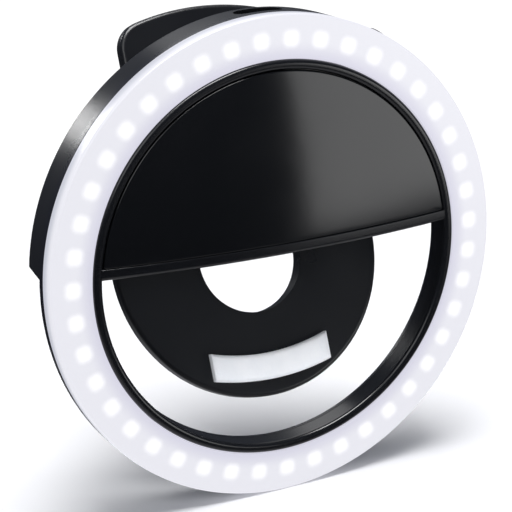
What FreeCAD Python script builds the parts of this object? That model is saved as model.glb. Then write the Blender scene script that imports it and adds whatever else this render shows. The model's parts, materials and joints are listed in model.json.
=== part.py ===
"""Clip-on ring light for a phone, as a parametric assembly.

Millimetres. The origin is the centre of the ring on the plane that the phone's
glass rests on. +X is to the right as the phone's owner sees the lit side, -Y is
the way that the light shines, +Z is up. The ring lies in the XZ plane. Its upper
half carries a deep housing with the battery and the control board, its lower
half is thin, and a sprung clip behind both presses the phone against the ring.
"""

import FreeCAD, Part
import math
import operator
import os

import Sketcher

Vector = FreeCAD.Vector
AXIS_X = Vector(1, 0, 0)
AXIS_Y = Vector(0, 1, 0)
AXIS_Z = Vector(0, 0, 1)

# Driving dimensions: alias, value and what it is. Lengths are in mm, angles in degrees.
DIMENSIONS = [
    # ring
    ("ring_radius", 42.5, "outer radius of the ring"),
    ("opening_radius", 33.2, "radius of the opening in the ring"),
    ("bezel_radius", 34.9, "outer radius of the black inner bezel"),
    ("ring_depth", 4.6, "front of the diffuser to the phone's glass"),
    ("diffuser_depth", 3.0, "depth of the diffuser's outer skirt"),
    ("diffuser_face", 1.1, "thickness of the diffuser's lit face"),
    ("diffuser_skirt", 1.1, "thickness of the diffuser's outer skirt"),
    ("diffuser_lip", 0.8, "thickness of the diffuser's inner skirt"),
    ("diffuser_edge", 0.45, "rounding of the diffuser's outer front edge"),
    ("shelf_thickness", 0.8, "rear wall of the thin ring"),
    ("cover_rebate", 0.2, "step in the ring frame that the rear cover sits in"),
    ("bezel_rise", 0.2, "how far the bezel stands proud of the diffuser"),
    ("bezel_edge", 0.7, "rounding of the bezel's rim"),
    ("slip", 0.05, "assembly gap between bonded or stacked pieces"),
    # front half disc
    ("dome_rise", 2.0, "crown of the front panel over its rim"),
    ("panel_thickness", 1.0, "front panel"),
    ("backing_thickness", 1.0, "front frame under the panel"),
    ("panel_seam", 0.12, "visible gap round the front panel"),
    ("lip_height", 2.1, "height of the front frame's lip below the panel"),
    ("lip_edge", 0.9, "rounding of the lip's lower edge"),
    ("floor_height", 1.9, "underside of the half disc at the diffuser's front plane"),
    ("floor_slope", 0.2, "rise of that underside per mm of depth"),
    # deep housing
    ("cover_depth", 5.3, "depth of the rear cover behind the phone's plane"),
    ("cover_wall", 1.2, "wall of the rear cover"),
    ("cover_edge", 1.5, "rounding of the rear cover's edges"),
    # hinge and clip
    ("pin_depth", 8.6, "hinge pin behind the phone's plane"),
    ("pin_height", 9.0, "hinge pin above the ring's centre"),
    ("pin_radius", 1.0, "hinge pin"),
    ("pin_half", 11.9, "half length of the hinge pin"),
    ("ear_radius", 2.3, "ears and knuckles round the pin"),
    ("ear_inner", 8.6, "inner face of the housing's ears"),
    ("ear_outer", 11.6, "outer face of the housing's ears"),
    ("ear_bore", 1.02, "bore in the housing's ears"),
    ("knuckle_inner", 5.2, "inner face of the clip's knuckles"),
    ("knuckle_outer", 8.3, "outer face of the clip's knuckles"),
    ("knuckle_bore", 1.05, "bore in the clip's knuckles"),
    ("clip_tilt", 20.9, "lean of the clip when it is shut"),
    ("clip_gap", 3.1, "hinge pin to the front of the clip's plate"),
    ("clip_thickness", 2.8, "clip plate"),
    ("clip_edge", 0.8, "rounding of the clip's outline"),
    ("jaw_drop", 10.23, "centre of the jaw's disc below the pin, along the plate"),
    ("jaw_radius", 25.7, "jaw's disc"),
    ("lens_drop", 10.97, "centre of the lens hole below the pin, along the plate"),
    ("lens_radius", 9.9, "lens hole"),
    ("lever_half", 16.8, "half width of the finger lever"),
    ("lever_top", 34.9, "top of the lever above the pin, along the plate"),
    ("lever_arc", 48.0, "radius of the lever's top edge"),
    ("lever_corner", 5.0, "corners of the lever"),
    ("waist_fillet", 6.0, "hollow between lever and jaw"),
    ("toe_reach", 2.5, "stop toe in front of the pin"),
    ("toe_top", 1.2, "top of the stop toe below the pin"),
    ("pad_half", 11.5, "half width of the jaw's pad"),
    ("pad_arc", 42.0, "radius of the pad's middle line"),
    ("pad_drop", 30.6, "middle of the pad below the pin, along the plate"),
    ("pad_width", 4.7, "width of the pad"),
    ("pad_thickness", 1.6, "thickness of the pad"),
    ("spring_room", 5.0, "half height of the gap in the clip round the spring"),
    ("wire_radius", 0.4, "spring wire"),
    ("coil_radius", 1.85, "mean radius of the spring's coil"),
    ("coil_pitch", 0.95, "pitch of the spring's coil"),
    ("coil_turns", 8.0, "turns of the spring's coil"),
    ("leg_length", 11.0, "legs of the spring"),
    ("housing_leg_lean", 5.2, "lean of the leg that presses on the housing"),
    ("lever_leg_lean", 4.0, "lean of the leg that presses on the lever"),
    # light source
    ("board_thickness", 0.6, "light source board"),
    ("board_inner", 35.3, "inner radius of the light source board"),
    ("board_outer", 41.1, "outer radius of the light source board"),
    ("emitter_circle", 38.4, "radius of the circle of emitters"),
    ("emitter_count", 43, "emitters"),
    ("emitter_length", 3.5, "emitter, along the circle"),
    ("emitter_width", 2.8, "emitter, across the circle"),
    ("emitter_height", 0.7, "emitter"),
    ("resistor_length", 1.6, "chip resistor"),
    ("resistor_width", 0.8, "chip resistor"),
    ("resistor_height", 0.45, "chip resistor"),
    # control board and what is on it
    ("control_thickness", 0.8, "control board"),
    ("control_radius", 39.6, "curved top edge of the control board"),
    ("control_bottom", 26.5, "lower edge of the control board"),
    ("notch_gap", 0.2, "clearance of the control board's notches round the wells"),
    ("inlet_width", 7.5, "charging inlet's shell"),
    ("inlet_height", 2.6, "charging inlet's shell"),
    ("inlet_length", 5.6, "charging inlet's shell"),
    ("inlet_wall", 0.3, "sheet of the inlet's shell"),
    ("inlet_corner", 0.7, "rounding of the inlet's front corners"),
    ("inlet_mouth", 40.6, "mouth of the inlet above the ring's centre"),
    ("tongue_width", 4.6, "inlet's tongue"),
    ("tongue_height", 0.7, "inlet's tongue"),
    ("tongue_length", 4.2, "inlet's tongue"),
    ("tongue_shift", 0.2, "tongue off the middle of the inlet, towards the board"),
    ("lamp_gap", 0.3, "charge lamp clear of the inlet"),
    ("lamp_width", 0.8, "charge lamp"),
    ("lamp_height", 0.6, "charge lamp off the board"),
    ("lamp_bottom", 37.2, "lower end of the charge lamp"),
    ("lamp_top", 38.8, "upper end of the charge lamp"),
    ("slot_half", 4.5, "half length of the slots in the rim"),
    ("slot_radius", 1.7, "half width of the slots in the rim"),
    ("slot_depth", 1.9, "middle of the slots behind the phone's plane"),
    ("button_angle", 35.0, "button, clockwise from the top"),
    ("button_half", 3.2, "half length of the button"),
    ("button_radius", 1.4, "half width of the button"),
    ("button_gap", 0.25, "clearance round the button"),
    ("button_top", 43.2, "top of the button from the ring's centre"),
    ("button_base", 40.3, "underside of the button from the ring's centre"),
    ("flange_top", 40.9, "top of the button's flange"),
    ("flange_grow", 0.5, "how far the flange stands out past the button's ends"),
    ("flange_half", 1.3, "half depth of the flange"),
    ("button_crown", 0.35, "rounding of the button's top edge"),
    ("switch_base", 35.2, "switch's body from the ring's centre"),
    ("switch_top", 38.4, "switch's body from the ring's centre"),
    ("switch_half", 3.0, "half length of the switch's body"),
    ("switch_depth", 3.2, "switch's body off the board"),
    ("plunger_radius", 0.9, "switch's plunger"),
    ("plunger_slip", 0.2, "plunger clear of the switch's body"),
    ("plunger_root", 0.8, "plunger inside the switch's body"),
    # battery
    ("cell_half", 15.0, "half width of the cell"),
    ("cell_bottom", 5.6, "underside of the cell"),
    ("cell_top", 25.0, "top of the cell"),
    ("cell_thickness", 5.0, "cell"),
    ("cell_edge", 1.2, "rounding of the pouch"),
    ("tape_thickness", 0.3, "tape under the cell"),
    ("tape_side", 3.0, "tape in from the cell's sides"),
    ("tape_low", 4.0, "tape in from the cell's lower end"),
    ("tape_high", 2.0, "tape in from the cell's upper end"),
    ("guard_half", 7.5, "half length of the cell's protection board"),
    ("guard_height", 1.2, "height of the cell's protection board"),
    ("guard_thickness", 1.0, "thickness of the cell's protection board"),
    ("guard_gap", 0.3, "cell's protection board clear of the control board's plane"),
    ("lead_radius", 0.45, "insulated leads"),
    ("cell_lead_spread", 2.0, "half distance between the cell's leads"),
    ("cell_lead_top", 31.0, "upper ends of the cell's leads"),
    ("light_lead_near", 12.4, "first lead of the light source, off the middle"),
    ("light_lead_far", 14.4, "second lead of the light source, off the middle"),
    ("light_lead_height", 34.6, "leads of the light source"),
    ("lead_hole", 0.7, "holes for the light source's leads"),
    # screws
    ("low_screw_side", 27.0, "lower screws, off the middle"),
    ("low_screw_height", 12.0, "lower screws, above the ring's centre"),
    ("high_screw_side", 11.0, "upper screws, off the middle"),
    ("high_screw_height", 28.5, "upper screws, above the ring's centre"),
    ("boss_radius", 2.0, "screw bosses of the front frame"),
    ("boss_front", 3.5, "front end of those bosses, in front of the phone's plane"),
    ("boss_end", 1.3, "rear end of those bosses"),
    ("well_radius", 2.6, "screw wells of the rear cover"),
    ("well_front", 1.5, "front end of those wells"),
    ("well_floor", 3.0, "floor under the screws' heads"),
    ("head_well", 1.85, "well that takes a screw's head"),
    ("shank_hole", 0.95, "clearance hole for a screw's shank"),
    ("pilot_hole", 0.87, "pilot hole in a boss"),
    ("shank_radius", 0.85, "screw's shank"),
    ("shank_end", 3.0, "screw's tip in front of the phone's plane"),
    ("head_radius", 1.6, "screw's head"),
    ("head_height", 1.1, "screw's head"),
    ("recess_half", 1.0, "half length of the cross recess"),
    ("recess_width", 0.4, "width of the cross recess"),
    ("recess_depth", 0.6, "depth of the cross recess"),
]

FAR = 60.0  # longer than any piece, for solids that only cut
OVER = 1.0  # how far a solid that only cuts runs past what it cuts
BITE = 0.3  # overlap that makes two solids one
NEAR = 0.5  # how far off an edge may be from where a test looks for it
ON_PLANE = 1e-4  # the same for an edge that lies in a plane
FLOOR_REACH = 12.0  # how far the half disc's cutting floor runs past the housing

document = FreeCAD.newDocument("RingLight")
sheet = document.addObject("Spreadsheet::Sheet", "Sizes")

OPERATIONS = {"+": operator.add, "-": operator.sub, "*": operator.mul, "/": operator.truediv}


class Size:
    """A number together with the spreadsheet formula that it comes from."""

    def __init__(self, value, formula):
        self.value = float(value)
        self.formula = formula

    def joined(self, sign, other, swapped=False):
        other = other if isinstance(other, Size) else Size(other, repr(float(other)))
        first, second = (other, self) if swapped else (self, other)
        value = OPERATIONS[sign](first.value, second.value)
        return Size(value, f"({first.formula} {sign} {second.formula})")

    def __add__(self, other):
        return self.joined("+", other)

    def __radd__(self, other):
        return self.joined("+", other, swapped=True)

    def __sub__(self, other):
        return self.joined("-", other)

    def __rsub__(self, other):
        return self.joined("-", other, swapped=True)

    def __mul__(self, other):
        return self.joined("*", other)

    def __rmul__(self, other):
        return self.joined("*", other, swapped=True)

    def __truediv__(self, other):
        return self.joined("/", other)

    def __neg__(self):
        return 0 - self

    def __float__(self):
        return self.value


class Dimensions:
    """The spreadsheet's cells, one attribute for each alias."""


dim = Dimensions()
for row, (alias, value, meaning) in enumerate(DIMENSIONS, start=1):
    sheet.set(f"A{row}", alias)
    sheet.set(f"B{row}", str(value))
    sheet.set(f"C{row}", meaning)
    sheet.setAlias(f"B{row}", alias)
    setattr(dim, alias, Size(value, f"Sizes.{alias}"))
document.recompute()

parts = []


def sub_part(thing, label):
    """Names a finished piece and puts it on the list of pieces to write."""
    thing.Label = label
    parts.append(thing)
    return thing


def bind(thing, name, quantity):
    """Sets a property, and ties it to the sheet where the quantity comes from there."""
    setattr(thing, name, float(quantity))
    if isinstance(quantity, Size):
        thing.setExpression(name, quantity.formula)


def place(thing, base=(0, 0, 0), axis=AXIS_Z, angle=0):
    """Puts a thing at a base point, turned about an axis, all tied to the sheet."""
    thing.Placement = FreeCAD.Placement(
        Vector(*[float(step) for step in base]), FreeCAD.Rotation(axis, float(angle))
    )
    for letter, step in zip("xyz", base):
        if isinstance(step, Size):
            thing.setExpression(f"Placement.Base.{letter}", step.formula)
    if isinstance(angle, Size):
        thing.setExpression("Placement.Rotation.Angle", angle.formula)
    return thing


def bar(name, radius, start, stop, along="Y", centre=(0, 0)):
    """A round bar from start to stop along an axis; centre gives the two other places."""
    thing = document.addObject("Part::Cylinder", name)
    bind(thing, "Radius", radius)
    bind(thing, "Height", stop - start)
    if along == "Y":
        return place(thing, (centre[0], start, centre[1]), AXIS_X, -90)
    if along == "X":
        return place(thing, (start, centre[0], centre[1]), AXIS_Y, 90)
    return place(thing, (centre[0], centre[1], start))


def block(name, across, depth, height):
    """A box from three pairs of limits along X, Y and Z."""
    thing = document.addObject("Part::Box", name)
    bind(thing, "Length", across[1] - across[0])
    bind(thing, "Width", depth[1] - depth[0])
    bind(thing, "Height", height[1] - height[0])
    return place(thing, (across[0], depth[0], height[0]))


def joined(name, *pieces):
    """One solid out of several that touch or overlap."""
    thing = document.addObject("Part::MultiFuse", name)
    thing.Shapes = list(pieces)
    thing.Refine = True
    return thing


def shared(name, first, second):
    """What two solids have in common."""
    thing = document.addObject("Part::Common", name)
    thing.Base = first
    thing.Tool = second
    thing.Refine = True
    return thing


def without(name, base, *tools):
    """A solid less its cut-outs."""
    tool = tools[0] if len(tools) == 1 else joined(name + "Tools", *tools)
    thing = document.addObject("Part::Cut", name)
    thing.Base = base
    thing.Tool = tool
    thing.Refine = True
    return thing


def rounded(name, base, radius, chosen):
    """Rounds the edges of a solid that a test picks out."""
    document.recompute()
    thing = document.addObject("Part::Fillet", name)
    thing.Base = base
    numbers = [i for i, edge in enumerate(base.Shape.Edges, start=1) if chosen(edge)]
    thing.Edges = [(i, float(radius), float(radius)) for i in numbers]
    return thing


def plane_of(body, role):
    """One of a body's own origin planes."""
    return next(item for item in body.Origin.OriginFeatures if item.Role == role)


def sketch_on(body, role, name, offset=0):
    """A sketch on one of a body's origin planes, lifted off it by an offset."""
    sketch = body.newObject("Sketcher::SketchObject", name)
    sketch.AttachmentSupport = [(plane_of(body, role), "")]
    sketch.MapMode = "FlatFace"
    sketch.AttachmentOffset = FreeCAD.Placement(Vector(0, 0, float(offset)), FreeCAD.Rotation())
    if isinstance(offset, Size):
        sketch.setExpression("AttachmentOffset.Base.z", offset.formula)
    return sketch


def tie(sketch, kind, *place_and_value):
    """Adds a dimension to a sketch, tied to the sheet where its value comes from there."""
    *where, quantity = place_and_value
    index = sketch.addConstraint(Sketcher.Constraint(kind, *where, float(quantity)))
    if isinstance(quantity, Size):
        sketch.setExpression(f"Constraints[{index}]", quantity.formula)


def outline(sketch, corners):
    """A closed straight-sided outline with every corner tied to the sheet."""
    points = [Vector(float(across), float(up), 0) for across, up in corners]
    count = len(points)
    for i in range(count):
        sketch.addGeometry(Part.LineSegment(points[i], points[(i + 1) % count]), False)
    for i in range(count):
        sketch.addConstraint(Sketcher.Constraint("Coincident", i, 2, (i + 1) % count, 1))
    for i, (across, up) in enumerate(corners):
        tie(sketch, "DistanceX", i, 1, across)
        tie(sketch, "DistanceY", i, 1, up)


def round_outline(sketch, across, up, radius):
    """A circle with its centre and radius tied to the sheet."""
    middle = Vector(float(across), float(up), 0)
    index = sketch.addGeometry(Part.Circle(middle, AXIS_Z, float(radius)), False)
    tie(sketch, "DistanceX", index, 3, across)
    tie(sketch, "DistanceY", index, 3, up)
    tie(sketch, "Radius", index, radius)


def padded(body, sketch, name, length, both_ways=False, backwards=False):
    """A pad off a sketch: one way, the other way, or half each way."""
    pad = body.newObject("PartDesign::Pad", name)
    pad.Profile = sketch
    bind(pad, "Length", length)
    pad.Midplane = both_ways
    pad.Reversed = backwards
    document.recompute()
    return pad


def pocketed(body, sketch, name, length, both_ways=False, backwards=False):
    """A pocket off a sketch; it has to take material away."""
    before = body.Shape.Volume
    pocket = body.newObject("PartDesign::Pocket", name)
    pocket.Profile = sketch
    bind(pocket, "Length", length)
    pocket.Midplane = both_ways
    pocket.Reversed = backwards
    document.recompute()
    if body.Shape.Volume > before - 1e-6:
        raise RuntimeError(f"{name} cuts nothing")
    return pocket


def edges_softened(body, name, radius, chosen):
    """Rounds the edges of a body that a test picks out."""
    document.recompute()
    tip = body.Tip
    fillet = body.newObject("PartDesign::Fillet", name)
    names = [f"Edge{i}" for i, edge in enumerate(tip.Shape.Edges, start=1) if chosen(edge)]
    if not names:
        raise RuntimeError(f"{name} finds no edges")
    fillet.Base = (tip, names)
    bind(fillet, "Radius", radius)
    document.recompute()
    return fillet


def turned(name, corners):
    """A body turned about the Y axis from an outline of (radius, depth) corners."""
    body = document.addObject("PartDesign::Body", name)
    sketch = sketch_on(body, "XY_Plane", name + "Profile")
    outline(sketch, corners)
    turn = body.newObject("PartDesign::Revolution", name + "Turn")
    turn.Profile = sketch
    turn.ReferenceAxis = (sketch, ["V_Axis"])
    bind(turn, "Angle", 360)
    document.recompute()
    return body


def is_circle_at(edge, radius, depth):
    """Whether an edge is a circle round the Y axis of this radius at this depth."""
    curve = edge.Curve
    return (
        isinstance(curve, Part.Circle)
        and abs(curve.Radius - float(radius)) < ON_PLANE
        and abs(edge.CenterOfMass.y - float(depth)) < ON_PLANE
    )


def above_floor(name, lift):
    """Everything above the half disc's sloping underside, raised by a lift."""
    body = document.addObject("PartDesign::Body", name)
    front = -dim.ring_depth - FLOOR_REACH
    rear = dim.cover_depth + FLOOR_REACH
    low = dim.floor_height + lift + (front + dim.ring_depth) * dim.floor_slope
    high = dim.floor_height + lift + (rear + dim.ring_depth) * dim.floor_slope
    sketch = sketch_on(body, "YZ_Plane", name + "Profile")
    outline(sketch, [(front, low), (rear, high), (rear, FAR), (front, FAR)])
    padded(body, sketch, name + "Pad", 2 * FAR, both_ways=True)
    return body


def dome(name, depth):
    """The ball whose cap is the front panel's crown, taken in by a depth."""
    crown = (dim.opening_radius * dim.opening_radius + dim.dome_rise * dim.dome_rise) / (
        2 * dim.dome_rise
    )
    ball = document.addObject("Part::Sphere", name)
    bind(ball, "Radius", crown - depth)
    return place(ball, (0, crown - dim.ring_depth - dim.dome_rise, 0), AXIS_X, 90)


SCREW_PLACES = [
    (-dim.low_screw_side, dim.low_screw_height),
    (dim.low_screw_side, dim.low_screw_height),
    (-dim.high_screw_side, dim.high_screw_height),
    (dim.high_screw_side, dim.high_screw_height),
]
BOARD_REAR = -dim.shelf_thickness - dim.slip
BOARD_FRONT = BOARD_REAR - dim.board_thickness
CONTROL_REAR = dim.cover_depth - dim.cover_wall
CONTROL_FRONT = CONTROL_REAR - dim.control_thickness
CELL_REAR = dim.cover_depth - dim.cover_wall - dim.tape_thickness
CELL_FRONT = CELL_REAR - dim.cell_thickness


def bars_at_screws(name, radius, start, stop):
    """The same round bar at each screw."""
    return [
        bar(f"{name}{i}", radius, start, stop, centre=spot)
        for i, spot in enumerate(SCREW_PLACES)
    ]


def diffuser():
    """Milky cover: a flat lit face with a deep outer skirt and a short inner one."""
    front = -dim.ring_depth
    inside = front + dim.diffuser_face
    rear = front + dim.diffuser_depth
    inner = dim.bezel_radius + dim.slip
    body = turned(
        "Diffuser",
        [
            (inner, front),
            (dim.ring_radius, front),
            (dim.ring_radius, rear),
            (dim.ring_radius - dim.diffuser_skirt, rear),
            (dim.ring_radius - dim.diffuser_skirt, inside),
            (inner + dim.diffuser_lip, inside),
            (inner + dim.diffuser_lip, rear - dim.diffuser_lip),
            (inner, rear - dim.diffuser_lip),
        ],
    )
    edges_softened(
        body, "DiffuserEdge", dim.diffuser_edge,
        lambda edge: is_circle_at(edge, dim.ring_radius, front),
    )
    return sub_part(body, "diffuser")


def ring_frame():
    """Black channel for the light source, with the phone's plane and the cover's seat."""
    rim = -dim.ring_depth + dim.diffuser_depth + dim.slip
    shelf = -dim.shelf_thickness
    body = turned(
        "RingFrame",
        [
            (dim.opening_radius, shelf),
            (dim.ring_radius - dim.diffuser_skirt, shelf),
            (dim.ring_radius - dim.diffuser_skirt, rim),
            (dim.ring_radius, rim),
            (dim.ring_radius, 0),
            (dim.opening_radius, 0),
        ],
    )
    sketch = sketch_on(body, "XZ_Plane", "LeadHoles")
    round_outline(sketch, -dim.light_lead_near, dim.light_lead_height, dim.lead_hole)
    round_outline(sketch, -dim.light_lead_far, dim.light_lead_height, dim.lead_hole)
    pocketed(body, sketch, "LeadHolesPocket", 4 * OVER, both_ways=True)
    seat = shared(
        "CoverSeat", bar("CoverSeatBar", dim.ring_radius + OVER, -dim.cover_rebate, OVER),
        above_floor("CoverSeatFloor", 0),
    )
    return sub_part(without("RingFrameSeated", body, seat), "ring_frame")


def light_board():
    """Flat ring board that carries the emitters."""
    body = turned(
        "LightBoard",
        [
            (dim.board_inner, BOARD_FRONT),
            (dim.board_outer, BOARD_FRONT),
            (dim.board_outer, BOARD_REAR),
            (dim.board_inner, BOARD_REAR),
        ],
    )
    return sub_part(body, "led_board")


def ring_of_chips(label, circle, length, width, height, phase):
    """Identical chips spaced evenly on the ring board, one for each emitter."""
    count = int(float(dim.emitter_count))
    base = Vector(-float(length / 2), float(BOARD_FRONT - height), float(circle - width / 2))
    chips = []
    for i in range(count):
        chip = Part.makeBox(float(length), float(height), float(width), base)
        chip.rotate(Vector(0, 0, 0), AXIS_Y, 360 * (i + phase) / count)
        chips.append(chip)
    thing = document.addObject("Part::Feature", label)
    thing.Shape = Part.makeCompound(chips)
    thing.Placement = FreeCAD.Placement()
    return sub_part(thing, label)


def front_frame():
    """Inner bezel, half-disc backing, lip and screw bosses in one moulding."""
    bezel = turned(
        "Bezel",
        [
            (dim.opening_radius, -dim.ring_depth - dim.bezel_rise),
            (dim.bezel_radius, -dim.ring_depth - dim.bezel_rise),
            (dim.bezel_radius, BOARD_REAR),
            (dim.opening_radius, BOARD_REAR),
        ],
    )
    edges_softened(
        bezel, "BezelEdge", dim.bezel_edge,
        lambda edge: edge.CenterOfMass.y < float(-dim.ring_depth),
    )
    reach = dim.opening_radius + BITE * (dim.bezel_radius - dim.opening_radius)
    front_space = bar(
        "FrontSpace", reach, -dim.ring_depth - dim.dome_rise - OVER, -dim.cover_rebate - dim.slip
    )
    upper_front = shared("UpperFront", front_space, above_floor("FrontFloor", 0))
    crown = shared("Crown", upper_front, dome("CrownBall", 0))
    hollow_space = shared(
        "HollowSpace", dome("HollowBall", dim.panel_thickness + dim.backing_thickness),
        above_floor("HollowFloor", dim.cover_wall),
    )
    seat_space = without(
        "SeatSpace",
        shared(
            "SeatDisc",
            bar("SeatBar", dim.opening_radius, -dim.ring_depth - dim.dome_rise - 2 * OVER, 0),
            above_floor("SeatFloor", dim.lip_height),
        ),
        dome("SeatBall", dim.panel_thickness),
    )
    ring_room = without(
        "RingRoom",
        bar("RingRoomOuter", dim.bezel_radius, BOARD_REAR, OVER),
        bar("RingRoomInner", dim.opening_radius - dim.slip, BOARD_REAR - OVER, 2 * OVER),
    )
    half_disc = without("HalfDisc", crown, hollow_space, seat_space, ring_room)
    softened = rounded("LipEdge", half_disc, dim.lip_edge, is_lip_edge)
    bosses = bars_at_screws("Boss", dim.boss_radius, -dim.boss_front, dim.boss_end)
    solid = joined("FrontSolid", bezel, softened, *bosses)
    pilots = bars_at_screws(
        "Pilot", dim.pilot_hole, -dim.shank_end - dim.slip, dim.boss_end + OVER
    )
    return sub_part(without("FrontFrame", solid, *pilots), "front_frame")


def is_lip_edge(edge):
    """Whether an edge is the long front one under the front frame's lip."""
    box = edge.BoundBox
    low = box.ZMax < float(dim.floor_height) + NEAR
    return low and box.XLength > float(dim.opening_radius) and box.YMax < NEAR - float(dim.ring_depth)


def front_panel():
    """Glossy crowned half disc bonded onto the front frame."""
    disc = bar(
        "PanelDisc", dim.opening_radius - dim.panel_seam,
        -dim.ring_depth - dim.dome_rise - OVER, 0,
    )
    upper = shared("PanelUpper", disc, above_floor("PanelFloor", dim.lip_height + dim.panel_seam))
    crown = shared("PanelCrown", upper, dome("PanelBall", 0))
    body = without("FrontPanel", crown, dome("PanelInner", dim.panel_thickness - dim.slip))
    return sub_part(body, "front_panel")


def rim_slot(name, half, radius, angle):
    """A slot with round ends in the housing's rim, at an angle from the top."""
    reach = half - radius
    low = dim.ring_radius - dim.cover_wall - 2 * OVER
    high = dim.ring_radius + 2 * OVER
    slot = joined(
        name,
        bar(name + "Left", radius, low, high, "Z", (-reach, dim.slot_depth)),
        bar(name + "Right", radius, low, high, "Z", (reach, dim.slot_depth)),
        block(
            name + "Middle", (-reach, reach),
            (dim.slot_depth - radius, dim.slot_depth + radius), (low, high),
        ),
    )
    return place(slot, axis=AXIS_Y, angle=angle)


def hinge_ear(name, start, stop):
    """One ear that holds the hinge pin off the housing's rear wall."""
    depth = (dim.cover_depth - dim.cover_wall / 2, dim.pin_depth)
    height = (dim.pin_height - dim.ear_radius, dim.pin_height + dim.ear_radius)
    return joined(
        name,
        block(name + "Root", (start, stop), depth, height),
        bar(name + "Eye", dim.ear_radius, start, stop, "X", (dim.pin_depth, dim.pin_height)),
    )


def rear_cover():
    """Deep half of the housing: rim, rear wall, sloping underside, hinge ears and wells."""
    disc = bar("CoverBlank", dim.ring_radius, -dim.cover_rebate, dim.cover_depth)
    blank = shared("CoverHalf", disc, above_floor("CoverFloor", 0))
    soft = rounded(
        "CoverEdge", blank, dim.cover_edge,
        lambda edge: abs(edge.CenterOfMass.y - float(dim.cover_depth)) < ON_PLANE,
    )
    hollow = shared(
        "CoverHollow",
        bar("CoverBore", dim.ring_radius - dim.cover_wall, -OVER, CONTROL_REAR),
        above_floor("CoverInnerFloor", dim.cover_wall),
    )
    shell = without("CoverShell", soft, hollow)
    wells = bars_at_screws("Well", dim.well_radius, dim.well_front, CONTROL_REAR + BITE)
    ears = [
        hinge_ear("RightEar", dim.ear_inner, dim.ear_outer),
        hinge_ear("LeftEar", -dim.ear_outer, -dim.ear_inner),
    ]
    solid = joined("CoverSolid", shell, *wells, *ears)
    head_wells = bars_at_screws("HeadWell", dim.head_well, dim.well_floor, dim.cover_depth + OVER)
    shank_holes = bars_at_screws("ShankHole", dim.shank_hole, 0, dim.well_floor + OVER)
    bore = bar(
        "EarBore", dim.ear_bore, -dim.ear_outer - OVER, dim.ear_outer + OVER, "X",
        (dim.pin_depth, dim.pin_height),
    )
    inlet_slot = rim_slot("InletSlot", dim.slot_half, dim.slot_radius, 0)
    button_slot = rim_slot(
        "ButtonSlot", dim.button_half + dim.button_gap, dim.button_radius + dim.button_gap,
        dim.button_angle,
    )
    cover = without(
        "RearCover", solid, *head_wells, *shank_holes, bore, inlet_slot, button_slot
    )
    return sub_part(cover, "rear_cover")


def button():
    """Button with a crowned top and a flange that keeps it in the rim."""
    reach = dim.button_half - dim.button_radius
    stem = joined(
        "ButtonStem",
        bar("StemLeft", dim.button_radius, dim.button_base, dim.button_top, "Z",
            (-reach, dim.slot_depth)),
        bar("StemRight", dim.button_radius, dim.button_base, dim.button_top, "Z",
            (reach, dim.slot_depth)),
        block("StemMiddle", (-reach, reach),
              (dim.slot_depth - dim.button_radius, dim.slot_depth + dim.button_radius),
              (dim.button_base, dim.button_top)),
    )
    crowned = rounded(
        "ButtonCrown", stem, dim.button_crown,
        lambda edge: abs(edge.CenterOfMass.z - float(dim.button_top)) < ON_PLANE,
    )
    grow = dim.flange_grow
    flange = block(
        "ButtonFlange", (-dim.button_half - grow, dim.button_half + grow),
        (dim.slot_depth - dim.flange_half, dim.slot_depth + dim.flange_half),
        (dim.button_base, dim.flange_top),
    )
    cap = place(joined("Button", crowned, flange), axis=AXIS_Y, angle=dim.button_angle)
    return sub_part(cap, "button_cap")


def switch():
    """Side-push switch that stands on the control board under the button."""
    depth = (CONTROL_FRONT - dim.switch_depth, CONTROL_FRONT)
    body = block(
        "SwitchBody", (-dim.switch_half, dim.switch_half), depth,
        (dim.switch_base, dim.switch_top),
    )
    bore_room = bar(
        "PlungerRoom", dim.plunger_radius + dim.plunger_slip,
        dim.switch_top - dim.plunger_root - OVER, dim.switch_top + OVER, "Z",
        (0, dim.slot_depth),
    )
    body = place(without("Switch", body, bore_room), axis=AXIS_Y, angle=dim.button_angle)
    sub_part(body, "switch_body")
    stem = bar(
        "PlungerStem", dim.plunger_radius, dim.switch_top - dim.plunger_root,
        dim.switch_top + dim.plunger_root, "Z", (0, dim.slot_depth),
    )
    nose = bar(
        "PlungerNose", dim.plunger_radius - dim.plunger_slip,
        dim.switch_top + dim.plunger_root, dim.button_base, "Z", (0, dim.slot_depth),
    )
    plunger = place(joined("Plunger", stem, nose), axis=AXIS_Y, angle=dim.button_angle)
    return sub_part(plunger, "switch_plunger")


def control_board():
    """Board with a curved top edge, notched round the upper screw wells."""
    disc = bar("ControlDisc", dim.control_radius, CONTROL_FRONT, CONTROL_REAR - dim.slip)
    upper = block("ControlUpper", (-FAR, FAR), (-FAR, FAR), (dim.control_bottom, FAR))
    notches = bars_at_screws(
        "Notch", dim.well_radius + dim.notch_gap, -OVER, dim.cover_depth
    )[2:]
    board = without("ControlBoard", shared("ControlSegment", disc, upper), *notches)
    return sub_part(board, "control_board")


def board_chips():
    """Charger chip, driver transistor, coil and small chips on the control board."""
    spots = [
        # middle across, middle up, width, height, off the board
        (-7.4, 35.2, 4.9, 3.9, 1.5),
        (8.2, 34.6, 3.0, 3.0, 1.6),
        (-16.8, 33.8, 2.9, 1.6, 1.0),
        (4.8, 31.2, 2.0, 1.2, 0.8),
        (6.9, 31.9, 1.6, 0.8, 0.5),
        (-4.6, 30.6, 1.6, 0.8, 0.5),
        (-17.6, 31.4, 1.6, 0.8, 0.5),
        (12.9, 33.4, 1.6, 0.8, 0.5),
    ]
    chips = []
    for across, up, width, height, off in spots:
        corner = Vector(across - width / 2, float(CONTROL_FRONT) - off, up - height / 2)
        chips.append(Part.makeBox(width, off, height, corner))
    thing = document.addObject("Part::Feature", "BoardChips")
    thing.Shape = Part.makeCompound(chips)
    thing.Placement = FreeCAD.Placement()
    return sub_part(thing, "board_chips")


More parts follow.
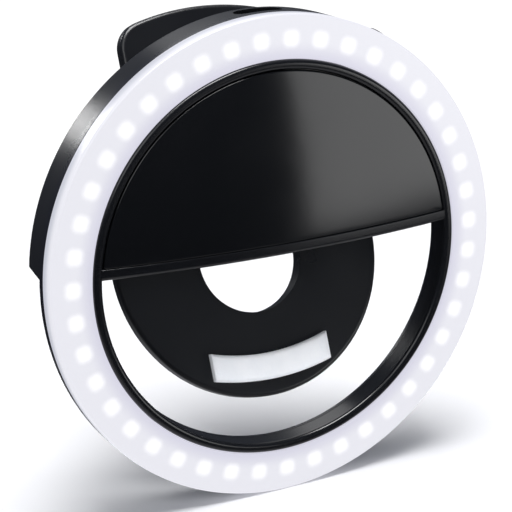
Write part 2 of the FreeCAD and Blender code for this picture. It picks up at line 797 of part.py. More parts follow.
def charging_inlet():
    """Five-pin charging inlet: a folded steel shell with a tongue inside."""
    low = dim.inlet_mouth - dim.inlet_length
    depth = (CONTROL_FRONT - dim.inlet_height, CONTROL_FRONT)
    half = dim.inlet_width / 2
    outer = block("InletOuter", (-half, half), depth, (low, dim.inlet_mouth))
    outer = rounded(
        "InletRound", outer, dim.inlet_corner,
        lambda edge: edge.BoundBox.ZLength > float(dim.inlet_length / 2)
        and edge.CenterOfMass.y < float(CONTROL_FRONT - dim.inlet_height / 2),
    )
    room = block(
        "InletRoom", (-half + dim.inlet_wall, half - dim.inlet_wall),
        (depth[0] + dim.inlet_wall, depth[1] - dim.inlet_wall),
        (low + dim.inlet_wall, dim.inlet_mouth + OVER),
    )
    sub_part(without("InletShell", outer, room), "usb_shell")
    middle = CONTROL_FRONT - dim.inlet_height / 2 + dim.tongue_shift
    tongue = block(
        "Tongue", (-dim.tongue_width / 2, dim.tongue_width / 2),
        (middle - dim.tongue_height / 2, middle + dim.tongue_height / 2),
        (low + dim.inlet_wall, low + dim.inlet_wall + dim.tongue_length),
    )
    return sub_part(tongue, "usb_tongue")


def charge_lamp():
    """Small lamp beside the inlet that shows through its slot while charging."""
    near = dim.inlet_width / 2 + dim.lamp_gap
    lamp = block(
        "ChargeLamp", (near, near + dim.lamp_width),
        (CONTROL_FRONT - dim.lamp_height, CONTROL_FRONT), (dim.lamp_bottom, dim.lamp_top),
    )
    return sub_part(lamp, "charge_lamp")


def battery():
    """Lithium pouch cell on its tape, with the protection board along its top."""
    cell = block(
        "CellBlock", (-dim.cell_half, dim.cell_half), (CELL_FRONT, CELL_REAR),
        (dim.cell_bottom, dim.cell_top),
    )
    cell = rounded(
        "Cell", cell, dim.cell_edge,
        lambda edge: edge.BoundBox.ZLength > float(dim.cell_half),
    )
    sub_part(cell, "battery")
    tape = block(
        "Tape", (dim.tape_side - dim.cell_half, dim.cell_half - dim.tape_side),
        (CELL_REAR, CONTROL_REAR),
        (dim.cell_bottom + dim.tape_low, dim.cell_top - dim.tape_high),
    )
    sub_part(tape, "battery_tape")
    guard = block(
        "Guard", (-dim.guard_half, dim.guard_half),
        (CONTROL_FRONT - dim.guard_gap - dim.guard_thickness, CONTROL_FRONT - dim.guard_gap),
        (dim.cell_top, dim.cell_top + dim.guard_height),
    )
    return sub_part(guard, "battery_guard_board")


def leads():
    """Four insulated leads: two from the cell, two to the ring board."""
    depth = CONTROL_FRONT - dim.lead_radius
    low = dim.cell_top + dim.guard_height
    pairs = [("positive", 1), ("negative", -1)]
    for polarity, side in pairs:
        lead = bar(
            f"CellLead{side + 1}", dim.lead_radius, low, dim.cell_lead_top, "Z",
            (side * dim.cell_lead_spread, depth),
        )
        sub_part(lead, f"battery_lead_{polarity}")
    for (polarity, _), across in zip(pairs, (dim.light_lead_near, dim.light_lead_far)):
        lead = bar(
            f"LightLead{polarity}", dim.lead_radius, BOARD_REAR, CONTROL_FRONT, "Y",
            (-across, dim.light_lead_height),
        )
        sub_part(lead, f"led_lead_{polarity}")


def screws():
    """Four self-tapping screws that pull the two halves of the housing together."""
    made = []
    top = dim.well_floor + dim.head_height
    depth = (top - dim.recess_depth, top + OVER)
    half = dim.recess_half
    width = dim.recess_width / 2
    for i, (across, up) in enumerate(SCREW_PLACES):
        spot = (across, up)
        shank = bar(f"Shank{i}", dim.shank_radius, -dim.shank_end, dim.well_floor, centre=spot)
        head = bar(f"Head{i}", dim.head_radius, dim.well_floor, top, centre=spot)
        flat = block(
            f"FlatSlot{i}", (across - half, across + half), depth, (up - width, up + width)
        )
        tall = block(
            f"TallSlot{i}", (across - width, across + width), depth, (up - half, up + half)
        )
        made.append(without(f"Screw{i}", joined(f"ScrewBlank{i}", shank, head), flat, tall))
    group = document.addObject("Part::Compound", "Screws")
    group.Links = made
    return sub_part(group, "cover_screws")


def hinge_pin():
    """Plain steel pin held by the housing's ears."""
    pin = bar(
        "HingePin", dim.pin_radius, -dim.pin_half, dim.pin_half, "X",
        (dim.pin_depth, dim.pin_height),
    )
    return sub_part(pin, "hinge_pin")


def spring_leg(name, across, turn, side):
    """One straight leg, tangent to the coil, turned about the pin from upright."""
    leg = bar(name, dim.wire_radius, 0, dim.leg_length, "Z", (0, 0))
    radians = math.radians(float(turn))
    offset = side * float(dim.coil_radius)
    leg.Placement = FreeCAD.Placement(
        Vector(
            float(across),
            float(dim.pin_depth) + offset * math.cos(radians),
            float(dim.pin_height) + offset * math.sin(radians),
        ),
        FreeCAD.Rotation(AXIS_X, float(turn)),
    )
    return leg


def torsion_spring():
    """Coil round the pin with one leg up the housing and one up the lever."""
    length = dim.coil_pitch * dim.coil_turns
    helix = document.addObject("Part::Helix", "CoilLine")
    bind(helix, "Pitch", dim.coil_pitch)
    bind(helix, "Height", length)
    bind(helix, "Radius", dim.coil_radius)
    section = document.addObject("Part::Circle", "CoilSection")
    bind(section, "Radius", dim.wire_radius)
    place(section, (dim.coil_radius, 0, 0), AXIS_X, 90)
    coil = document.addObject("Part::Sweep", "CoilSweep")
    coil.Sections = [section]
    coil.Spine = (helix, [])
    coil.Solid = True
    coil.Frenet = True
    # the coil's axis lies along the pin, and its wire starts in front of the pin
    turn = FreeCAD.Rotation(AXIS_Y, 90) * FreeCAD.Rotation(AXIS_Z, -90)
    coil.Placement = FreeCAD.Placement(
        Vector(-float(length) / 2, float(dim.pin_depth), float(dim.pin_height)), turn
    )
    half = length / 2
    housing_leg = spring_leg("HousingLeg", -half, dim.housing_leg_lean, -1)
    lever_leg = spring_leg("LeverLeg", half, -dim.clip_tilt - dim.lever_leg_lean, 1)
    return sub_part(joined("TorsionSpring", coil, housing_leg, lever_leg), "torsion_spring")


def clip():
    """Jaw and finger lever in one moulding, in a frame that leans about the pin."""
    body = document.addObject("PartDesign::Body", "Clip")
    face = -dim.clip_gap
    low, half, top = -dim.jaw_drop, dim.lever_half, dim.lever_top

    jaw = sketch_on(body, "XZ_Plane", "JawOutline", face)
    round_outline(jaw, 0, low, dim.jaw_radius)
    padded(body, jaw, "JawPad", dim.clip_thickness, backwards=True)

    lever = sketch_on(body, "XZ_Plane", "LeverOutline", face)
    centre_up = top - dim.lever_arc
    rise = math.sqrt(float(dim.lever_arc) ** 2 - float(half) ** 2)
    corner_up = float(centre_up) + rise
    corners = [
        Vector(-float(half), float(low), 0), Vector(float(half), float(low), 0),
        Vector(float(half), corner_up, 0), Vector(-float(half), corner_up, 0),
    ]
    start = math.atan2(rise, float(half))
    arc = Part.ArcOfCircle(
        Part.Circle(Vector(0, float(centre_up), 0), AXIS_Z, float(dim.lever_arc)),
        start, math.pi - start,
    )
    lever.addGeometry(Part.LineSegment(corners[0], corners[1]), False)
    lever.addGeometry(Part.LineSegment(corners[1], corners[2]), False)
    lever.addGeometry(arc, False)
    lever.addGeometry(Part.LineSegment(corners[3], corners[0]), False)
    for first, second in (((0, 2), (1, 1)), ((1, 2), (2, 1)), ((2, 2), (3, 1)), ((3, 2), (0, 1))):
        lever.addConstraint(Sketcher.Constraint("Coincident", *first, *second))
    lever.addConstraint(Sketcher.Constraint("Vertical", 1))
    lever.addConstraint(Sketcher.Constraint("Vertical", 3))
    tie(lever, "DistanceX", 0, 1, -half)
    tie(lever, "DistanceY", 0, 1, low)
    tie(lever, "DistanceX", 1, 1, half)
    tie(lever, "DistanceY", 1, 1, low)
    tie(lever, "DistanceX", 2, 3, 0)
    tie(lever, "DistanceY", 2, 3, centre_up)
    tie(lever, "Radius", 2, dim.lever_arc)
    padded(body, lever, "LeverPad", dim.clip_thickness, backwards=True)

    def across_plate(edge):
        box = edge.BoundBox
        return box.XLength < ON_PLANE and box.ZLength < ON_PLANE

    edges_softened(
        body, "LeverCorners", dim.lever_corner,
        lambda edge: across_plate(edge) and edge.CenterOfMass.z > float(half),
    )
    edges_softened(
        body, "Waist", dim.waist_fillet,
        lambda edge: across_plate(edge) and 0 < edge.CenterOfMass.z < float(half)
        and abs(abs(edge.CenterOfMass.x) - float(half)) < ON_PLANE,
    )
    hole = sketch_on(body, "XZ_Plane", "LensHole", face)
    round_outline(hole, 0, -dim.lens_drop, dim.lens_radius)
    pocketed(body, hole, "LensPocket", 4 * dim.clip_thickness, both_ways=True)
    edges_softened(
        body, "PlateEdge", dim.clip_edge,
        lambda edge: edge.BoundBox.YLength < ON_PLANE
        and not (isinstance(edge.Curve, Part.Circle)
                 and abs(edge.Curve.Radius - float(dim.lens_radius)) < ON_PLANE),
    )
    knuckles = sketch_on(body, "YZ_Plane", "KnuckleRound")
    round_outline(knuckles, 0, 0, dim.ear_radius)
    padded(body, knuckles, "KnucklePad", 2 * dim.knuckle_outer, both_ways=True)
    roots = sketch_on(body, "YZ_Plane", "KnuckleRoot")
    outline(roots, [
        (0, -dim.ear_radius), (dim.clip_gap + BITE, -dim.ear_radius),
        (dim.clip_gap + BITE, dim.ear_radius), (0, dim.ear_radius),
    ])
    padded(body, roots, "KnuckleRootPad", 2 * dim.knuckle_outer, both_ways=True)
    toe = sketch_on(body, "YZ_Plane", "StopToe")
    outline(toe, [
        (-dim.toe_reach, -dim.ear_radius), (0, -dim.ear_radius),
        (0, -dim.toe_top), (-dim.toe_reach, -dim.toe_top),
    ])
    padded(body, toe, "StopToePad", 2 * dim.knuckle_outer, both_ways=True)
    room = sketch_on(body, "YZ_Plane", "SpringRoom")
    reach = dim.spring_room
    outline(room, [
        (-reach, -reach), (dim.clip_gap, -reach), (dim.clip_gap, reach), (-reach, reach),
    ])
    pocketed(body, room, "SpringRoomPocket", 2 * dim.knuckle_inner, both_ways=True)
    bore = sketch_on(body, "YZ_Plane", "KnuckleBore")
    round_outline(bore, 0, 0, dim.knuckle_bore)
    pocketed(body, bore, "KnuckleBorePocket", 4 * dim.knuckle_outer, both_ways=True)
    place(body, (0, dim.pin_depth, dim.pin_height), Vector(-1, 0, 0), dim.clip_tilt)
    return sub_part(body, "clip")


def jaw_pad():
    """Curved foam strip on the jaw, cut square at its ends."""
    rear = dim.clip_gap
    front = rear - dim.pad_thickness
    middle = -dim.pad_drop + dim.pad_arc
    inner = dim.pad_arc - dim.pad_width / 2
    outer = dim.pad_arc + dim.pad_width / 2
    ring = without(
        "PadRing",
        bar("PadOuter", outer, front, rear, centre=(0, middle)),
        bar("PadInner", inner, front - OVER, rear + OVER, centre=(0, middle)),
    )
    strip = shared(
        "PadStrip", ring,
        block(
            "PadWindow", (-dim.pad_half, dim.pad_half), (front - OVER, rear + OVER),
            (-dim.pad_drop - dim.pad_half, -dim.pad_drop + dim.pad_half),
        ),
    )
    place(strip, (0, dim.pin_depth, dim.pin_height), Vector(-1, 0, 0), dim.clip_tilt)
    return sub_part(strip, "jaw_pad")


diffuser()
ring_frame()
light_board()
ring_of_chips(
    "leds", dim.emitter_circle, dim.emitter_length, dim.emitter_width, dim.emitter_height, 0.5
)
ring_of_chips(
    "led_resistors", dim.emitter_circle, dim.resistor_width, dim.resistor_length,
    dim.resistor_height, 0,
)
front_frame()
front_panel()
rear_cover()
button()
switch()
control_board()
board_chips()
charging_inlet()
charge_lamp()
battery()
leads()
screws()
hinge_pin()
torsion_spring()
clip()
jaw_pad()
document.recompute()

faults = [
    f"{thing.Name}: {thing.State}"
    for thing in document.Objects
    if "Invalid" in thing.State or "Error" in thing.State
]
for part in parts:
    if part.Shape.isNull() or not part.Shape.isValid() or not part.Shape.Solids:
        faults.append(f"{part.Label}: no valid solid")
if faults:
    raise RuntimeError("; ".join(faults))

os.makedirs("parts", exist_ok=True)
for part in parts:
    part.Shape.exportStep(os.path.join("parts", part.Label + ".step"))
    box = part.Shape.BoundBox
    print(
        f"{part.Label:24s} {len(part.Shape.Solids):3d} solids {part.Shape.Volume:9.2f} mm3  "
        f"x {box.XMin:7.2f} {box.XMax:7.2f}  y {box.YMin:6.2f} {box.YMax:6.2f}  "
        f"z {box.ZMin:7.2f} {box.ZMax:7.2f}"
    )
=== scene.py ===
"""Looks of a clip-on phone ring light, built around its fixed CAD frame.

The frame is in metres, with the origin at the ring's centre on the plane where the
phone's glass rests, -Y the way the light shines and +Z up. Sizes in this file are in
millimetres in that same frame, and each finished mesh is brought to metres once.
"""

from __future__ import annotations

import json
import logging
import math
from collections.abc import Callable, Sequence
from dataclasses import dataclass
from enum import Enum

import bmesh
import bpy
from mathutils import Matrix, Quaternion, Vector

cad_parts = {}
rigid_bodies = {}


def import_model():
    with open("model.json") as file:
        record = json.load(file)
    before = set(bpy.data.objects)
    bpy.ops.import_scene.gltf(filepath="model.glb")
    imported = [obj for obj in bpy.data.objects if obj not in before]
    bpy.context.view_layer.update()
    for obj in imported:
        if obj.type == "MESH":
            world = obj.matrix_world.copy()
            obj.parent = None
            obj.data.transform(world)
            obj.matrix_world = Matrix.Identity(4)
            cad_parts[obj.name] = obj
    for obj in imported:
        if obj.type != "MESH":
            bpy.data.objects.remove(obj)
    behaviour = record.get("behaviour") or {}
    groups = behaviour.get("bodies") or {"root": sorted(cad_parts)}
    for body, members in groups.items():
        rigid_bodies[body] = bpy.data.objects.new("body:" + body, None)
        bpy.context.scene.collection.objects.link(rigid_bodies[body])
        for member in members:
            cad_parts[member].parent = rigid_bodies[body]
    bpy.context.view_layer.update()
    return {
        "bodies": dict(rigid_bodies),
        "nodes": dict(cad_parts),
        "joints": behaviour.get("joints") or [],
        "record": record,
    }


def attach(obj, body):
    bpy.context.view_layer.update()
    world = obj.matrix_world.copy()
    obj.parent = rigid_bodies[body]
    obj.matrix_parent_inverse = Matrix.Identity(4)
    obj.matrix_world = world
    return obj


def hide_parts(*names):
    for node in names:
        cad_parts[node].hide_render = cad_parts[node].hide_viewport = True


LOG = logging.getLogger("ring_light")
MM = 0.001
ROUND = 288  # steps round the ring in its turned pieces
CIRCLE = 48  # steps round a bar or a hole
BOND = 0.05  # how far two bodies of one moulding run into each other

Flat = tuple[float, float]
Place = tuple[float, float, float]
Socket = bpy.types.NodeSocket
Tree = bpy.types.NodeTree
Piece = bpy.types.Object


class Body(Enum):
    """The bodies of the frame that a piece can ride on."""

    HOUSING = "housing"
    JAW = "jaw"
    BUTTON = "button"


class Slot(Enum):
    """The record's material slots, one named for each new piece."""

    MILKY = "milky_polycarbonate"
    SATIN = "black_satin"
    GLOSS = "black_gloss"
    STEEL = "steel"
    SCREW = "screw_steel"
    FOAM = "foam"


class Axis(Enum):
    """The axis that an outline is pushed along."""

    X = 0
    Y = 1
    Z = 2


class Blend(Enum):
    """How a second solid is put to a first."""

    CUT = "DIFFERENCE"
    FUSE = "UNION"


# ------------------------------------------------------------------ colours and nodes


def linear(code: str) -> tuple[float, float, float, float]:
    """Turns an sRGB hex colour into a linear one.

    Args:
        code: six hex digits.

    Returns:
        Red, green, blue and an alpha of one.
    """
    parts = [int(code[i : i + 2], 16) / 255 for i in (0, 2, 4)]
    shades = [p / 12.92 if p <= 0.04045 else ((p + 0.055) / 1.055) ** 2.4 for p in parts]
    return (shades[0], shades[1], shades[2], 1.0)


SMOOTH = {"interpolation_type": "SMOOTHSTEP"}
COLOURS = {"data_type": "RGBA"}
INK, TOP, MIXED = 6, 7, 2  # a colour mix's two colour inputs and its colour output


def feed(tree: Tree, node: bpy.types.Node, inputs: dict[str | int, object]) -> None:
    """Links sockets to a node's inputs and sets values on them.

    Args:
        tree: the node tree.
        node: the node that is fed.
        inputs: input sockets by name or number; a socket is linked, a value is set.
    """
    for key, value in inputs.items():
        if isinstance(value, Socket):
            tree.links.new(value, node.inputs[key])
        else:
            node.inputs[key].default_value = value


def add_node(
    tree: Tree,
    kind: str,
    settings: dict[str, object] | None = None,
    inputs: dict[str | int, object] | None = None,
) -> bpy.types.Node:
    """Adds a node with its settings, and links or fills its inputs.

    Args:
        tree: the node tree to add to.
        kind: the node's class name.
        settings: attributes of the node.
        inputs: input sockets by name or number; a socket is linked, a value is set.

    Returns:
        The new node.
    """
    node = tree.nodes.new(kind)
    for key, value in (settings or {}).items():
        setattr(node, key, value)
    feed(tree, node, inputs or {})
    return node


# ------------------------------------------------------------------ finishes


@dataclass(frozen=True)
class Finish:
    """A surface: what it is made of and how its surface was made.

    Slow clouds, some millimetres wide, shift the colour between two close shades and
    the roughness about its middle, as flow in the mould and handling do. Fine grain
    in the relief breaks the highlights up.
    """

    name: str
    colour: str = "808080"
    second: str = "707070"
    roughness: float = 0.5
    swing: float = 0.05
    grain_mm: float = 0.5
    height_mm: float = 0.01
    cloud_mm: float = 12.0
    ior: float = 1.5
    metallic: float = 0.0

    def material(self) -> bpy.types.Material:
        """The finish as a material, made once and then shared.

        Returns:
            The material.
        """
        made = bpy.data.materials.get(self.name)
        if made:
            return made
        made = bpy.data.materials.new(self.name)
        made.use_nodes = True
        tree = made.node_tree
        tree.nodes.clear()
        surface = add_node(tree, "ShaderNodeBsdfPrincipled", inputs={"Metallic": self.metallic})
        add_node(tree, "ShaderNodeOutputMaterial", inputs={"Surface": surface.outputs[0]})
        if self.metallic == 0.0:
            surface.inputs["IOR"].default_value = self.ior
        self.shade(tree, surface, add_node(tree, "ShaderNodeTexCoord").outputs["Object"])
        return made

    def shade(self, tree: Tree, surface: bpy.types.Node, place: Socket) -> None:
        """Grain in the relief, clouds in the roughness and the colour.

        Args:
            tree: the material's node tree.
            surface: its Principled shader.
            place: the surface point in metres.
        """
        cloud = add_node(
            tree, "ShaderNodeTexNoise",
            inputs={"Vector": place, "Scale": 1 / (self.cloud_mm * MM), "Detail": 4.0},
        ).outputs["Fac"]
        gloss = add_node(
            tree, "ShaderNodeMapRange", SMOOTH,
            {"Value": cloud, 1: 0.3, 2: 0.7, 3: self.roughness - self.swing,
             4: self.roughness + self.swing},
        ).outputs[0]
        bump = add_node(
            tree, "ShaderNodeBump",
            inputs={"Height": self.relief(tree, place), "Distance": self.height_mm * MM},
        ).outputs[0]
        tint = self.tint(tree, place, cloud)
        feed(tree, surface, {"Base Color": tint, "Roughness": gloss, "Normal": bump})

    def tint(self, tree: Tree, place: Socket, cloud: Socket) -> Socket:
        """The colour, which drifts between both shades with the clouds.

        Args:
            tree: the material's node tree.
            place: the surface point in metres.
            cloud: the slow noise.

        Returns:
            The colour.
        """
        share = add_node(
            tree, "ShaderNodeMapRange", SMOOTH, {"Value": cloud, 1: 0.35, 2: 0.65}
        ).outputs[0]
        return add_node(
            tree, "ShaderNodeMix", COLOURS,
            {0: share, INK: linear(self.colour), TOP: linear(self.second)},
        ).outputs[MIXED]

    def relief(self, tree: Tree, place: Socket) -> Socket:
        """The height that the bump takes: plain grain unless a finish says otherwise.

        Args:
            tree: the material's node tree.
            place: the surface point in metres.

        Returns:
            The height, from nought to one.
        """
        return add_node(
            tree, "ShaderNodeTexNoise",
            inputs={"Vector": place, "Scale": 1 / (self.grain_mm * MM), "Detail": 2.0},
        ).outputs["Fac"]


@dataclass(frozen=True)
class MouldedPlastic(Finish):
    """Injection-moulded plastic, from mirror-polished to spark-eroded satin.

    A spark-eroded tool leaves pits of about a third of a millimetre, which spread a
    highlight softly; a polished tool leaves only a faint orange peel.
    """


@dataclass(frozen=True)
class ClosedCellFoam(Finish):
    """Closed-cell polyethylene foam with cut cells at its surface.

    The cells are a few tenths of a millimetre, so the white face looks matt and
    faintly pitted. They are drawn at twice their size so that they show.
    """

    cell_mm: float = 0.55

    def relief(self, tree: Tree, place: Socket) -> Socket:
        """Rounded cells out of the distance to the nearest cell centre.

        Args:
            tree: the material's node tree.
            place: the surface point in metres.

        Returns:
            The height, from nought to one.
        """
        return add_node(
            tree, "ShaderNodeTexVoronoi", {"feature": "SMOOTH_F1"},
            {"Vector": place, "Scale": 1 / (self.cell_mm * MM), "Smoothness": 0.4},
        ).outputs["Distance"]


@dataclass(frozen=True)
class DrawnMetal(Finish):
    """Bright wire, sheet and foil, drawn or rolled, with marks along its length.

    The marks are finer than a tenth of a millimetre; they are drawn three times as
    coarse, and stretch the highlight across them.
    """

    along: Axis = Axis.X
    stretch: float = 12.0
    metallic: float = 1.0

    def relief(self, tree: Tree, place: Socket) -> Socket:
        """Grain stretched along the way the metal was drawn.

        Args:
            tree: the material's node tree.
            place: the surface point in metres.

        Returns:
            The height, from nought to one.
        """
        scale = [1.0, 1.0, 1.0]
        scale[self.along.value] = 1 / self.stretch
        stretched = add_node(
            tree, "ShaderNodeMapping", inputs={"Vector": place, "Scale": tuple(scale)}
        ).outputs[0]
        return add_node(
            tree, "ShaderNodeTexNoise",
            inputs={"Vector": stretched, "Scale": 1 / (self.grain_mm * MM), "Detail": 3.0},
        ).outputs["Fac"]


@dataclass(frozen=True)
class SolderMask(Finish):
    """Screened solder mask over copper tracks: the tracks show as paler bands."""

    track_mm: float = 0.8
    track: str = "3f7a4c"

    def tint(self, tree: Tree, place: Socket, cloud: Socket) -> Socket:
        """Paler bands where copper lies under the mask.

        Args:
            tree: the material's node tree.
            place: the surface point in metres.
            cloud: the slow noise, which is not used here.

        Returns:
            The colour.
        """
        bands = add_node(
            tree, "ShaderNodeTexWave", {"wave_type": "BANDS", "bands_direction": "X"},
            {"Vector": place, "Scale": 0.314 / (self.track_mm * MM), "Distortion": 6.0, "Detail": 1.0},
        ).outputs["Fac"]
        share = add_node(
            tree, "ShaderNodeMapRange", SMOOTH, {"Value": bands, 1: 0.62, 2: 0.7}
        ).outputs[0]
        return add_node(
            tree, "ShaderNodeMix", COLOURS,
            {0: share, INK: linear(self.colour), TOP: linear(self.track)},
        ).outputs[MIXED]


@dataclass(frozen=True)
class LitPhosphor(Finish):
    """Phosphor gel of a lit emitter: yellowish when dark, a white glare when on."""

    glow: str = "fffdf4"
    strength: float = 0.8

    def shade(self, tree: Tree, surface: bpy.types.Node, place: Socket) -> None:
        """The gel's own shade plus its glow.

        Args:
            tree: the material's node tree.
            surface: its Principled shader.
            place: the surface point in metres.
        """
        super().shade(tree, surface, place)
        feed(tree, surface, {
            "Emission Color": linear(self.glow), "Emission Strength": self.strength,
        })


@dataclass(frozen=True)
class MilkyPolycarbonate(Finish):
    """Milky polycarbonate lit from behind, with a polished front.

    Each emitter shows as a soft white patch as large as its package. Between the
    patches the glow is a little dimmer and faintly lilac, most of all towards the
    bezel, and the skirt at the ring's rim is dimmer still. The body colour is
    painted darker and bluer towards the bezel as well: painted shade.
    """

    glow: str = "dddde3"
    dim: str = "cdccd8"
    hot: str = "ffffff"
    rim: str = "b9bbc4"
    count: int = 43
    circle_mm: float = 38.4
    patch_mm: Flat = (0.4, 0.34)
    blur_mm: float = 1.7
    inner_mm: float = 34.95
    dimming_mm: float = 3.2
    front_mm: float = -4.6
    skirt_mm: Flat = (0.25, 2.4)
    strength: float = 1.0

    def shade(self, tree: Tree, surface: bpy.types.Node, place: Socket) -> None:
        """Dim inner edge, a patch over each emitter and a dim skirt, one over another.

        Args:
            tree: the material's node tree.
            surface: its Principled shader.
            place: the surface point in metres.
        """
        across, depth, up = add_node(tree, "ShaderNodeSeparateXYZ", inputs={0: place}).outputs
        flat = add_node(tree, "ShaderNodeCombineXYZ", inputs={0: across, 2: up}).outputs[0]
        radius = add_node(
            tree, "ShaderNodeVectorMath", {"operation": "LENGTH"}, {0: flat}
        ).outputs["Value"]
        reach = self.patch_distance(tree, across, up, radius)
        front, inner = self.front_mm, self.inner_mm
        layers = (
            (radius, (inner, inner + self.dimming_mm), (1.0, 0.0), self.dim),
            (reach, (0.0, self.blur_mm), (1.0, 0.0), self.hot),
            (depth, (front + self.skirt_mm[0], front + self.skirt_mm[1]), (0.0, 1.0), self.rim),
        )
        shares: list[Socket] = []
        light: Socket | tuple[float, ...] = linear(self.glow)
        for way, (start, stop), (first, last), code in layers:
            share = add_node(
                tree, "ShaderNodeMapRange", SMOOTH,
                {"Value": way, 1: start * MM, 2: stop * MM, 3: first, 4: last},
            ).outputs[0]
            light = add_node(
                tree, "ShaderNodeMix", COLOURS, {0: share, INK: light, TOP: linear(code)}
            ).outputs[MIXED]
            shares.append(share)
        # Painted shade: the body colour turns darker and bluer towards the bezel, along with the dimmer
        # glow there.
        body = add_node(
            tree, "ShaderNodeMix", COLOURS,
            {0: shares[0], INK: linear(self.colour), TOP: linear(self.second)},
        ).outputs[MIXED]
        feed(tree, surface, {
            "Base Color": body, "Emission Color": light, "Emission Strength": self.strength,
            "Roughness": self.roughness,
        })

    def patch_distance(self, tree: Tree, across: Socket, up: Socket, radius: Socket) -> Socket:
        """How far a point is from the nearest emitter's package.

        Args:
            tree: the material's node tree.
            across: the point's place across the ring.
            up: its height over the ring's centre.
            radius: its distance from the ring's centre.

        Returns:
            The distance in metres, nought over the package itself.
        """
        half_step, circle = math.pi / self.count, self.circle_mm * MM
        turns = (
            ("ARCTAN2", across, up), ("ADD", None, half_step), ("WRAP", None, half_step, -half_step),
        )
        turn: Socket | None = None
        for operation, first, *others in turns:
            values = dict(enumerate(others, 1))
            turn = add_node(
                tree, "ShaderNodeMath", {"operation": operation}, {0: first or turn, **values}
            ).outputs[0]
        spot = add_node(tree, "ShaderNodeCombineXYZ", inputs={0: turn, 1: radius}).outputs[0]
        steps = (
            ("MULTIPLY_ADD", (circle, 1.0, 0.0), (0.0, -circle, 0.0)),
            ("ABSOLUTE",),
            ("SUBTRACT", (self.patch_mm[0] * MM, self.patch_mm[1] * MM, 0.0)),
            ("MAXIMUM", (0.0, 0.0, 0.0)),
        )
        for operation, *others in steps:
            values = dict(enumerate(others, 1))
            spot = add_node(
                tree, "ShaderNodeVectorMath", {"operation": operation}, {0: spot, **values}
            ).outputs[0]
        return add_node(
            tree, "ShaderNodeVectorMath", {"operation": "LENGTH"}, {0: spot}
        ).outputs["Value"]


# Housing: pits from the eroded tool turn the lamps' reflections into wide grey sheens.
SATIN = MouldedPlastic(
    name="satin black ABS, spark-eroded", colour="101114", second="141519", roughness=0.3,
    swing=0.03, grain_mm=0.32, height_mm=0.004, cloud_mm=16.0,
)
# Clip: the same plastic from a slightly finer tool; its colour is set a shade darker than the housing's
# as painted shade.
SHADED_CLIP_SATIN = MouldedPlastic(
    name="satin black ABS of the clip, spark-eroded", colour="0f1013", second="121316",
    roughness=0.3, swing=0.03, grain_mm=0.3, height_mm=0.003, cloud_mm=18.0,
)
# Channel and button: stoned tool, so a narrower and brighter sheen than the housing.
CHANNEL = MouldedPlastic(
    name="smooth black ABS of the light channel", colour="101117", second="13141b",
    roughness=0.28, swing=0.03, grain_mm=0.3, height_mm=0.003, cloud_mm=14.0,
)
# Panel: polished tool, a deep black mirror with a faint orange peel.
GLOSS = MouldedPlastic(
    name="polished black ABS", colour="08090b", second="0a0b0d", roughness=0.13,
    swing=0.02, grain_mm=2.4, height_mm=0.002, cloud_mm=22.0,
)
# Bezel: polished too, yet softer, so its rim carries a thin grey line of light.
BEZEL = MouldedPlastic(
    name="polished black ABS of the bezel", colour="0b0c0f", second="0d0e11", roughness=0.2,
    swing=0.02, grain_mm=2.0, height_mm=0.002, cloud_mm=20.0,
)
# Cover of the emitters: polished outside, milky all through, so it glows by itself.
MILKY = MilkyPolycarbonate(
    name="milky polycarbonate, moulded", colour="56565c", second="4c4c56", roughness=0.3,
    ior=1.58,
)
# Pad: cut cells make it matt and faintly pitted.
FOAM = ClosedCellFoam(
    name="white closed-cell foam, die-cut", colour="f4f5f7", second="eef0f3", roughness=0.8,
    swing=0.05, height_mm=0.05, cloud_mm=6.0,
)
# Pin and spring: drawn wire, with highlights that run along it.
PIN_STEEL = DrawnMetal(
    name="bright steel, drawn", colour="b9bbc0", second="a8aab0", roughness=0.24,
    grain_mm=0.3, height_mm=0.004, cloud_mm=5.0,
)
# Inlet shell: nickel over sheet steel looks slightly warm.
SHELL_STEEL = DrawnMetal(
    name="nickel-plated sheet steel, rolled", colour="c4c2bc", second="b4b2ac",
    roughness=0.22, swing=0.04, grain_mm=0.3, height_mm=0.003, cloud_mm=4.0, along=Axis.Z,
)
# Screws: zinc dulls the steel and clouds it in small patches.
ZINC = DrawnMetal(
    name="zinc-plated steel, cold-headed", colour="9fa3a8", second="8a8e95",
    roughness=0.34, swing=0.06, grain_mm=0.3, height_mm=0.006, cloud_mm=1.6, along=Axis.Y,
)
# Contacts: thin gold over bronze, bright yellow lines in the dark inlet.
GOLD = DrawnMetal(
    name="gold-plated spring bronze", colour="e8c26a", second="d8b058", roughness=0.22,
    swing=0.04, grain_mm=0.2, height_mm=0.002, cloud_mm=2.0, along=Axis.Z,
)
# Chips: filled epoxy is dull and dark grey.
EPOXY = MouldedPlastic(
    name="black epoxy of chips, moulded", colour="17181a", second="222325", roughness=0.6,
    grain_mm=0.12, height_mm=0.006, cloud_mm=1.4,
)
# Switch plunger: nylon has a waxy, creamy white.
WHITE_PLASTIC = MouldedPlastic(
    name="white nylon, moulded", colour="e6e4dd", second="dcdad2", roughness=0.4,
    grain_mm=0.2, height_mm=0.004, cloud_mm=3.0,
)
# Control board: green lacquer, a little glossy, with paler tracks.
GREEN_BOARD = SolderMask(
    name="glass-epoxy board, green mask", colour="1f5a2f", second="1b5029", roughness=0.38,
    cloud_mm=8.0,
)
# Emitter board: white lacquer that throws the light forwards.
WHITE_BOARD = SolderMask(
    name="glass-epoxy board, white mask", colour="e8e9e6", second="dfe1dd", roughness=0.4,
    cloud_mm=8.0, track="d3d6d0",
)
# Emitters: pale yellow gel under a white glare.
PHOSPHOR = LitPhosphor(
    name="phosphor gel, lit", colour="f3e7a0", second="efe08e", roughness=0.35,
    grain_mm=0.3, height_mm=0.004, cloud_mm=2.0,
)
# Cell: crinkled foil with a broken silver sheen.
POUCH = DrawnMetal(
    name="aluminium pouch foil, rolled", colour="c9cbcd", second="b9bcc0", roughness=0.3,
    swing=0.08, grain_mm=0.6, height_mm=0.02, cloud_mm=6.0,
)
